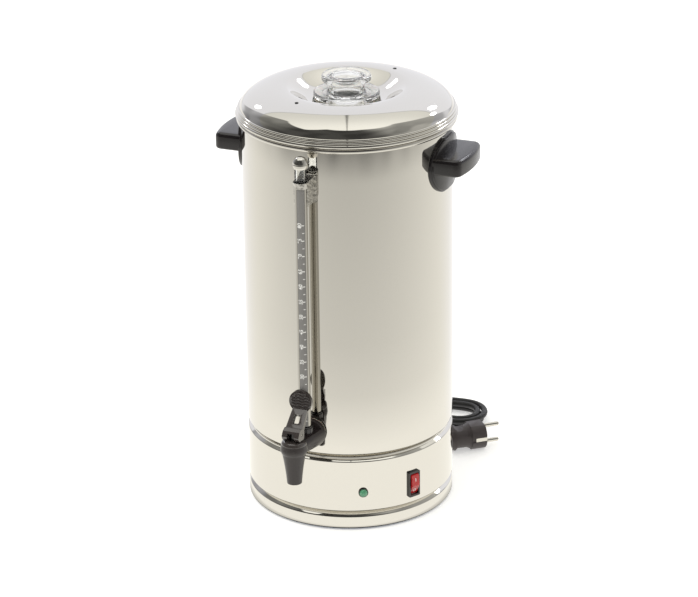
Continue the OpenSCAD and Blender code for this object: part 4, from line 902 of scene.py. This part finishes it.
@dataclass
class Cord:
    """The mains cord from its gland through the tied hank to the plug. Millimetres and degrees."""

    r: float = 3.4
    gland_az: float = 201.5
    gland_z: float = 35.0
    gland_reach: float = 140.0
    hank_x: float = -9.0
    hank_y: float = 199.1
    run: float = 130.0
    inner_r: float = 18.4
    step: float = 7.8
    dip: float = 9.0
    lift: float = 1.2
    layer: float = 7.4
    loops: int = 3
    splay: float = 12.0
    plug_face: tuple[float, float, float] = (101.8, 143.0, 15.0)
    plug_angle: float = 40.0
    outlet: float = 28.0
    relief: float = 37.0
    outlet_drop: float = 3.0

    @staticmethod
    def smooth(points: np.ndarray, steps: int) -> np.ndarray:
        """Cubic curve through the points, where each point's slope is half the way between its neighbours."""
        p = np.concatenate([points[:1], points, points[-1:]])
        a, b, c, d = p[:-3, None], p[1:-2, None], p[2:-1, None], p[3:, None]
        t = np.linspace(0, 1, steps, endpoint=False)[None, :, None]
        curve = 0.5 * (2 * b + (c - a) * t + (2 * a - 5 * b + 4 * c - d) * t ** 2 + (3 * b - a - 3 * c + d) * t ** 3)
        return np.concatenate([curve.reshape(-1, 3), points[-1:]])

    def hank(self, per_loop: int = 72) -> np.ndarray:
        """Points of the hank: two runs drawn in at the waist and two round folds per loop, spiralling in on the
        upper layer and out on the lower one."""
        t = np.linspace(0, self.loops, self.loops * per_loop + 1)
        middle = self.loops / 2
        outer_r = self.inner_r + self.step * middle
        r = self.inner_r + self.step * np.abs(t - middle)
        fold = np.pi * (self.inner_r + outer_r) / 2
        whole = 2 * (self.run + fold)
        s = (t - np.floor(t)) * whole
        near = np.where(s < self.run / 2, s, s - whole)
        first = s - self.run / 2
        back = first - fold
        second = back - self.run
        x = self.run / 2 - back
        waist_near = (1 + np.cos(2 * np.pi * near / self.run)) / 2
        waist_far = (1 + np.cos(2 * np.pi * x / self.run)) / 2
        e = np.clip(back / self.run, 0, 1)
        lower = np.where(np.abs(t - middle) > 0.25, (t >= middle).astype(float), e * e * (3 - 2 * e))
        z = self.r + self.layer * (1 - lower)
        a1, a2 = np.pi * first / fold - np.pi / 2, np.pi * second / fold + np.pi / 2
        on_near, on_first, on_far = np.abs(near) <= self.run / 2, first < fold, second < 0
        where = [on_near, on_first, on_far]
        px = np.select(where, [near, self.run / 2 + r * np.cos(a1), x], -self.run / 2 + r * np.cos(a2))
        py = np.select(where, [-r + self.dip * waist_near, r * np.sin(a1), r - self.dip * waist_far], r * np.sin(a2))
        pz = z + self.lift * np.select(where, [waist_near, 0 * t, waist_far], 0)
        return np.stack([self.hank_x + px, self.hank_y + py, pz], axis=1)

    def route(self) -> np.ndarray:
        """The whole route from the gland's tip to the plug's strain relief."""
        hank = self.hank()
        a = math.radians(self.splay)
        end_step = 2 * self.r
        step_in = end_step * np.array([math.cos(a), math.sin(a), 0])
        step_out = end_step * np.array([math.cos(a), -math.sin(a), 0])
        start, end = hank[0] - step_in, hank[-1] + step_out
        g = math.radians(self.gland_az)
        g_dir = np.array([math.sin(g), -math.cos(g), 0])
        tip = g_dir * self.gland_reach + np.array([0, 0, self.gland_z])
        b = math.radians(self.plug_angle)
        axis, side = np.array([math.cos(b), math.sin(b), 0]), np.array([-math.sin(b), math.cos(b), 0])
        tail_end = np.array(self.plug_face) - axis * self.outlet + side * self.relief - [0, 0, self.outlet_drop]
        lead = np.array([tip - g_dir * 4, tip, tip + g_dir * 7, [-57, 145.5, 32.5], [-57, 154.5, 28], [-51, 164, 23.5],
                         [-41, 170.2, 19], [-30, 173.4, 14.6], start - step_in, start])
        tail = np.array([end, end + step_out, [13, 172.9, 4.1], [27, 168.4, 3.4],
                         [39, 164, 4.5], [47.6, 160.4, 8.4], tail_end + side * 6, tail_end, tail_end - side * 4])
        rough = np.concatenate([self.smooth(lead, 8), hank, self.smooth(tail, 8)])
        # Spread the points evenly and ease the small kinks at the joints
        length = np.concatenate([[0], np.cumsum(np.linalg.norm(np.diff(rough, axis=0), axis=1))])
        even = np.linspace(0, length[-1], 560)
        path = np.stack([np.interp(even, length, rough[:, k]) for k in range(3)], axis=1)
        for _ in range(6):
            path[1:-1] = 0.25 * path[:-2] + 0.5 * path[1:-1] + 0.25 * path[2:]
        return path

    def build(self) -> None:
        """Make the cord, the plug and what is on them."""
        path = self.route() * MM
        along = np.gradient(path, axis=0)
        along /= np.linalg.norm(along, axis=1, keepdims=True)
        side = np.cross(along, [0, 0, 1])
        side /= np.linalg.norm(side, axis=1, keepdims=True)
        up = np.cross(side, along)
        turn = np.linspace(0, 2 * np.pi, 14, endpoint=False)
        ring = np.cos(turn)[None, :, None] * side[:, None] + np.sin(turn)[None, :, None] * up[:, None]
        tube = path[:, None] + self.r * MM * ring
        caps = [(tube[k], np.arange(14)[None, :]) for k in (0, -1)]
        parts = [(tube, grid_faces(len(path), 14, False, True)), *caps]
        cord = make_piece("mains_cord", parts, CORD_SHEATH, "urn")
        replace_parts(cord, "cord_lead", "cord_hank", "cord_tail")
        plug = [refined_node("plug_body", Edge.MOULDED, PLUG_VINYL), refined_node("plug_pins"),
                refined_node("plug_contacts"), refined_node("hank_tie")]
        refined_node("cord_gland")


@dataclass
class Studio:
    """Camera, floor and soft light of the photograph. Metres and degrees, and tones in linear light."""

    location: tuple[float, float, float] = (1.1273, -2.8618, 1.4967)
    azimuth: float = 21.5
    pitch: float = 22.55
    roll: float = -0.676
    lens: float = 161.6
    floor_half: float = 12.0
    floor_glow: float = 0.42
    # Painted reflection and shadow: the tone that the floor glows with for the steel's mirror rays, the share of it
    # that is lost at each distance, with the first stops painting a dark shadow under the urn, and how that turns
    mirror_white: float = 1.19
    floor_drop: tuple[tuple[float, float], ...] = (
        (0.0, 1.6), (0.106, 1.6), (0.118, 0.0), (0.31, 0.0), (0.45, 0.25), (0.60, 0.34), (1.15, 0.44), (1.28, 0.60),
        (1.6, 0.62))
    facing_share: tuple[float, float] = (0.47, 0.53)
    tint_shares: tuple[float, float] = (0.06, 0.35)
    patch_scale: float = 3.0
    patches_from: tuple[float, float] = (1.17, 1.27)
    patch_tone: float = 0.3
    # What the lid mirrors of the tent: tones from left to right and up its front sheet, its seam and its fold
    tent: tuple[float, float] = (1.08, 1.12)
    front_sheet: tuple[float, float] = (0.84, 1.16)
    seam_elevation: float = 48.0
    seam_tone: float = 0.7
    fold_tone: float = 0.3
    # The opening round the compass: its tone, the sine of its upper edge, and what stands in it
    room: tuple[tuple[float, float], ...] = (
        (-160, 0.9), (-120, 0.3), (-95, 0.15), (-70, 0.07), (20, 0.06), (75, 0.4), (165, 0.9))
    room_edge: tuple[tuple[float, float], ...] = (
        (-160, 0.0), (-120, 0.83), (-70, 0.84), (-50, 0.96), (30, 0.96), (100, 0.9), (150, 0.0))
    clutter_scale: float = 2.6
    clutter: tuple[float, float] = (0.8, 1.25)
    # Small lamps: their directions, the cosines between which they fade, and their strength
    spots: tuple[tuple[float, float, float], ...] = ((-0.70, 0.52, 0.49), (0.45, 0.72, 0.53), (0.21, 0.81, 0.55))
    spot_fade: tuple[float, float] = (0.9982, 0.9999)
    spot_strength: float = 9.0
    soft_light: float = 0.85

    def camera(self) -> None:
        """Place the camera by its azimuth, pitch and roll."""
        data = bpy.data.cameras.new("photo_camera")
        data.sensor_fit = "HORIZONTAL"
        data.sensor_width = 36
        data.lens = self.lens
        data.clip_end = 50
        a, p, r = (math.radians(v) for v in (self.azimuth, self.pitch, self.roll))
        forward = np.array([-math.sin(a) * math.cos(p), math.cos(a) * math.cos(p), -math.sin(p)])
        right = np.array([math.cos(a), math.sin(a), 0])
        up = np.cross(right, forward)
        turned = np.stack([math.cos(r) * right + math.sin(r) * up, math.cos(r) * up - math.sin(r) * right, -forward],
                          axis=1)
        matrix = np.eye(4)
        matrix[:3, :3] = turned
        matrix[:3, 3] = self.location
        camera = bpy.data.objects.new("photo_camera", data)
        camera.matrix_world = Matrix(matrix.tolist())
        bpy.context.scene.collection.objects.link(camera)
        bpy.context.scene.camera = camera

    def floor(self) -> None:
        """Large pale floor that shows white where nothing shades it, and that glows with a painted reflection tone for
        mirror rays, dark under the urn as a painted shadow.
        """
        half = self.floor_half
        mesh = bpy.data.meshes.new("studio_floor")
        mesh.from_pydata([(-half, -half, 0), (half, -half, 0), (half, half, 0), (-half, half, 0)], [], [(0, 1, 2, 3)])
        material = bpy.data.materials.new("white_studio_sweep")
        material.use_nodes = True
        tree = material.node_tree
        shader = tree.nodes["Principled BSDF"]
        shader.inputs["Base Color"].default_value = linear("#F4F3F0")
        shader.inputs["Roughness"].default_value = 0.8
        path = add_node(tree, "ShaderNodeLightPath").outputs
        glow = add_node(tree, "ShaderNodeEmission", {"Color": (1, 1, 1, 1), "Strength": self.floor_glow})
        bright = add_node(tree, "ShaderNodeAddShader", {0: shader.outputs[0], 1: glow.outputs[0]})
        # Painted reflection: for mirror rays the floor glows with this tone, painted dark under the urn as its shadow,
        # and the tone falls off with the distance from the urn, most of all toward the camera
        place = add_node(tree, "ShaderNodeTexCoord").outputs["Object"]
        away = add_node(tree, "ShaderNodeVectorMath", {0: place}, operation="LENGTH").outputs["Value"]
        reach = 0.99 / self.floor_drop[-1][0]
        nearness = add_node(tree, "ShaderNodeMath", {0: away, 1: reach}, operation="MULTIPLY").outputs[0]
        ramp = add_node(tree, "ShaderNodeValToRGB", {"Fac": nearness})
        set_stops(ramp.color_ramp, [(distance * reach, drop) for distance, drop in self.floor_drop])
        a = math.radians(self.azimuth)
        course = add_node(tree, "ShaderNodeVectorMath", {0: place}, operation="NORMALIZE").outputs["Vector"]
        facing = add_node(tree, "ShaderNodeVectorMath", {0: course, 1: (math.sin(a), -math.cos(a), 0)},
                          operation="DOT_PRODUCT").outputs["Value"]
        share = add_node(tree, "ShaderNodeMath", {0: facing, 1: self.facing_share[0], 2: self.facing_share[1]},
                         operation="MULTIPLY_ADD").outputs[0]
        patches = add_node(tree, "ShaderNodeTexNoise", {"Vector": place, "Scale": self.patch_scale, "Detail": 0.0})
        far = add_node(tree, "ShaderNodeMapRange", {"Value": away, "From Min": self.patches_from[0],
                                                    "From Max": self.patches_from[1], "To Min": 0.0,
                                                    "To Max": self.patch_tone})
        fall = add_node(tree, "ShaderNodeMath", {0: patches.outputs["Fac"], 1: far.outputs[0],
                                                 2: ramp.outputs["Color"]}, operation="MULTIPLY_ADD").outputs[0]
        drop = add_node(tree, "ShaderNodeMath", {0: fall, 1: share}, operation="MULTIPLY").outputs[0]
        tone = add_node(tree, "ShaderNodeMath", {0: drop, 1: -self.mirror_white, 2: self.mirror_white},
                        operation="MULTIPLY_ADD").outputs[0]
        # Tint of the painted reflection: warm toward the camera and to the sides, neutral behind
        tint = add_node(tree, "ShaderNodeValToRGB", {"Fac": share})
        set_stops(tint.color_ramp, list(zip(self.tint_shares, (linear("#FCFBFC"), linear("#FFFDF6")))))
        mirrored = add_node(tree, "ShaderNodeEmission", {"Color": tint.outputs["Color"], "Strength": tone})
        plain = add_node(tree, "ShaderNodeMixShader", {0: path["Is Glossy Ray"], 1: shader.outputs[0],
                                                       2: mirrored.outputs[0]})
        seen = add_node(tree, "ShaderNodeMath", {0: path["Is Camera Ray"], 1: path["Is Transmission Ray"]},
                        operation="MAXIMUM")
        mixed = add_node(tree, "ShaderNodeMixShader", {0: seen.outputs[0], 1: plain.outputs[0], 2: bright.outputs[0]})
        tree.links.new(mixed.outputs[0], tree.nodes["Material Output"].inputs["Surface"])
        mesh.materials.append(material)
        floor = bpy.data.objects.new("studio_floor", mesh)
        bpy.context.scene.collection.objects.link(floor)

    def world(self) -> None:
        """White tent of two sheets that meet in a seam, with a dim opening toward the camera below about 75 degrees.

        Camera rays and what is seen through the clear pieces are plain white.
        """
        world = bpy.data.worlds.new("white_tent")
        bpy.context.scene.world = world
        world.use_nodes = True
        tree = world.node_tree
        path = add_node(tree, "ShaderNodeLightPath").outputs
        place = add_node(tree, "ShaderNodeTexCoord").outputs["Generated"]
        a = math.radians(self.azimuth)
        height = add_node(tree, "ShaderNodeSeparateXYZ", {0: place}).outputs["Z"]
        s = math.radians(self.seam_elevation)
        ways = {"facing": (math.sin(a), -math.cos(a), 0.0), "across": (math.cos(a), math.sin(a), 0.0),
                "sheet": (math.sin(a) * math.sin(s), -math.cos(a) * math.sin(s), math.cos(s))}
        ways |= {f"spot_{k}": spot for k, spot in enumerate(self.spots)}
        along = {name: add_node(tree, "ShaderNodeVectorMath", {0: place, 1: way},
                                operation="DOT_PRODUCT").outputs["Value"] for name, way in ways.items()}
        compass = add_node(tree, "ShaderNodeCombineXYZ", {0: along["facing"], 1: along["across"]}).outputs[0]
        turn = add_node(tree, "ShaderNodeTexGradient", {"Vector": compass}, gradient_type="RADIAL").outputs["Fac"]
        # One ramp round the compass for the opening's tone and one for the sine of its upper edge
        around = {}
        for name, stops in (("room", self.room), ("edge", self.room_edge)):
            ramp = add_node(tree, "ShaderNodeValToRGB", {"Fac": turn})
            ramp.color_ramp.interpolation = "EASE"
            set_stops(ramp.color_ramp, [(degrees / 360 + 0.5, value) for degrees, value in stops])
            around[name] = ramp.outputs["Color"]
        above = add_node(tree, "ShaderNodeMath", {0: height, 1: around["edge"]}, operation="SUBTRACT").outputs[0]
        noise = add_node(tree, "ShaderNodeTexNoise", {"Vector": place, "Scale": self.clutter_scale,
                                                      "Detail": 0.0}).outputs["Fac"]
        off_seam = add_node(tree, "ShaderNodeMath", {0: along["sheet"]}, operation="ABSOLUTE").outputs[0]
        off_fold = add_node(tree, "ShaderNodeMath", {0: along["across"]}, operation="ABSOLUTE").outputs[0]
        # Each smooth step: its value, the two limits, and the result at each of them
        steps = {
            "opening": (above, -0.012, 0.008, 1.0, 0.0),
            "clutter": (noise, 0.35, 0.65, *self.clutter),
            "tent": (along["across"], -0.1, 0.35, *self.tent),
            "front_sheet": (along["sheet"], -0.01, 0.01, 0.0, 1.0),
            "front_tone": (along["sheet"], 0.0, 0.8, *self.front_sheet),
            "seam": (off_seam, 0.0, 0.02, self.seam_tone, 1.0),
            "fold": (off_fold, 0.0, 0.012, self.fold_tone, 1.0),
        }
        spots = [f"spot_{k}" for k in range(len(self.spots))]
        steps |= {name: (along[name], *self.spot_fade, 0.0, self.spot_strength) for name in spots}
        eased = {name: add_node(tree, "ShaderNodeMapRange", {"Value": value, "From Min": low, "From Max": high,
                                                             "To Min": start, "To Max": end},
                                interpolation_type="SMOOTHSTEP").outputs["Result"]
                 for name, (value, low, high, start, end) in steps.items()}
        room = add_node(tree, "ShaderNodeMath", {0: around["room"], 1: eased["clutter"]},
                        operation="MULTIPLY").outputs[0]
        front = add_node(tree, "ShaderNodeMath", {0: eased["front_tone"], 1: eased["fold"]},
                         operation="MULTIPLY").outputs[0]
        sheets = add_node(tree, "ShaderNodeMix", {"Factor": eased["front_sheet"], "A": 1.0, "B": front},
                          data_type="FLOAT").outputs["Result"]
        sewn = add_node(tree, "ShaderNodeMath", {0: sheets, 1: eased["seam"]}, operation="MULTIPLY").outputs[0]
        tent = add_node(tree, "ShaderNodeMath", {0: eased["tent"], 1: sewn}, operation="MULTIPLY").outputs[0]
        tint = add_node(tree, "ShaderNodeValToRGB", {"Fac": eased["front_sheet"]})
        set_stops(tint.color_ramp, [(0.0, linear("#F7F8FF")), (1.0, linear("#FFFEF8"))])
        tone = add_node(tree, "ShaderNodeMix", {"Factor": eased["opening"], "A": tent, "B": room},
                        data_type="FLOAT").outputs["Result"]
        for name in spots:
            tone = add_node(tree, "ShaderNodeMath", {0: tone, 1: eased[name]}, operation="ADD").outputs[0]
        mirrored = add_node(tree, "ShaderNodeBackground", {"Color": tint.outputs["Color"], "Strength": tone})
        soft = add_node(tree, "ShaderNodeBackground", {"Color": linear("#FBFBF8"), "Strength": self.soft_light})
        lit = add_node(tree, "ShaderNodeMixShader", {0: path["Is Glossy Ray"], 1: soft.outputs[0],
                                                     2: mirrored.outputs[0]})
        seen = add_node(tree, "ShaderNodeBackground", {"Color": (1, 1, 1, 1), "Strength": 1.0})
        straight = add_node(tree, "ShaderNodeMath", {0: path["Is Camera Ray"], 1: path["Is Transmission Ray"]},
                            operation="MAXIMUM").outputs[0]
        mixed = add_node(tree, "ShaderNodeMixShader", {0: straight, 1: lit.outputs[0], 2: seen.outputs[0]})
        tree.links.new(mixed.outputs[0], tree.nodes["World Output"].inputs["Surface"])

    def lamps(self) -> None:
        """One broad soft lamp above and one at the left, both plain white."""
        for name, place, aim, size, watts in (
            ("top_softbox", (-0.4, -0.6, 2.2), (0, 0, 0.2), 1.6, 16.0),
            ("left_softbox", (-2.0, -1.4, 1.2), (0, 0, 0.25), 1.2, 10.0),
        ):
            data = bpy.data.lights.new(name, "AREA")
            data.shape = "SQUARE"
            data.size = size
            data.energy = watts
            lamp = bpy.data.objects.new(name, data)
            lamp.visible_glossy = False
            z = np.array(place) - np.array(aim)
            z = z / np.linalg.norm(z)
            x = np.cross([0, 0, 1], z)
            x = x / np.linalg.norm(x)
            matrix = np.eye(4)
            matrix[:3, :3] = np.stack([x, np.cross(z, x), z], axis=1)
            matrix[:3, 3] = place
            lamp.matrix_world = Matrix(matrix.tolist())
            bpy.context.scene.collection.objects.link(lamp)

    def build(self) -> None:
        """Set up the studio."""
        bpy.context.scene.view_settings.view_transform = "Standard"
        self.camera()
        self.floor()
        self.world()
        self.lamps()


def main() -> None:
    """Build the studio and every sub-assembly."""
    logging.basicConfig(level=logging.INFO, format="%(name)s: %(message)s")
    for part in (Studio(), Cord(), Shells(), Lid(), Gauge(), Tap(), Handles(), Panel(), Inside()):
        log.info("building %s", type(part).__name__)
        part.build()


if __name__ == "__main__":
    main()
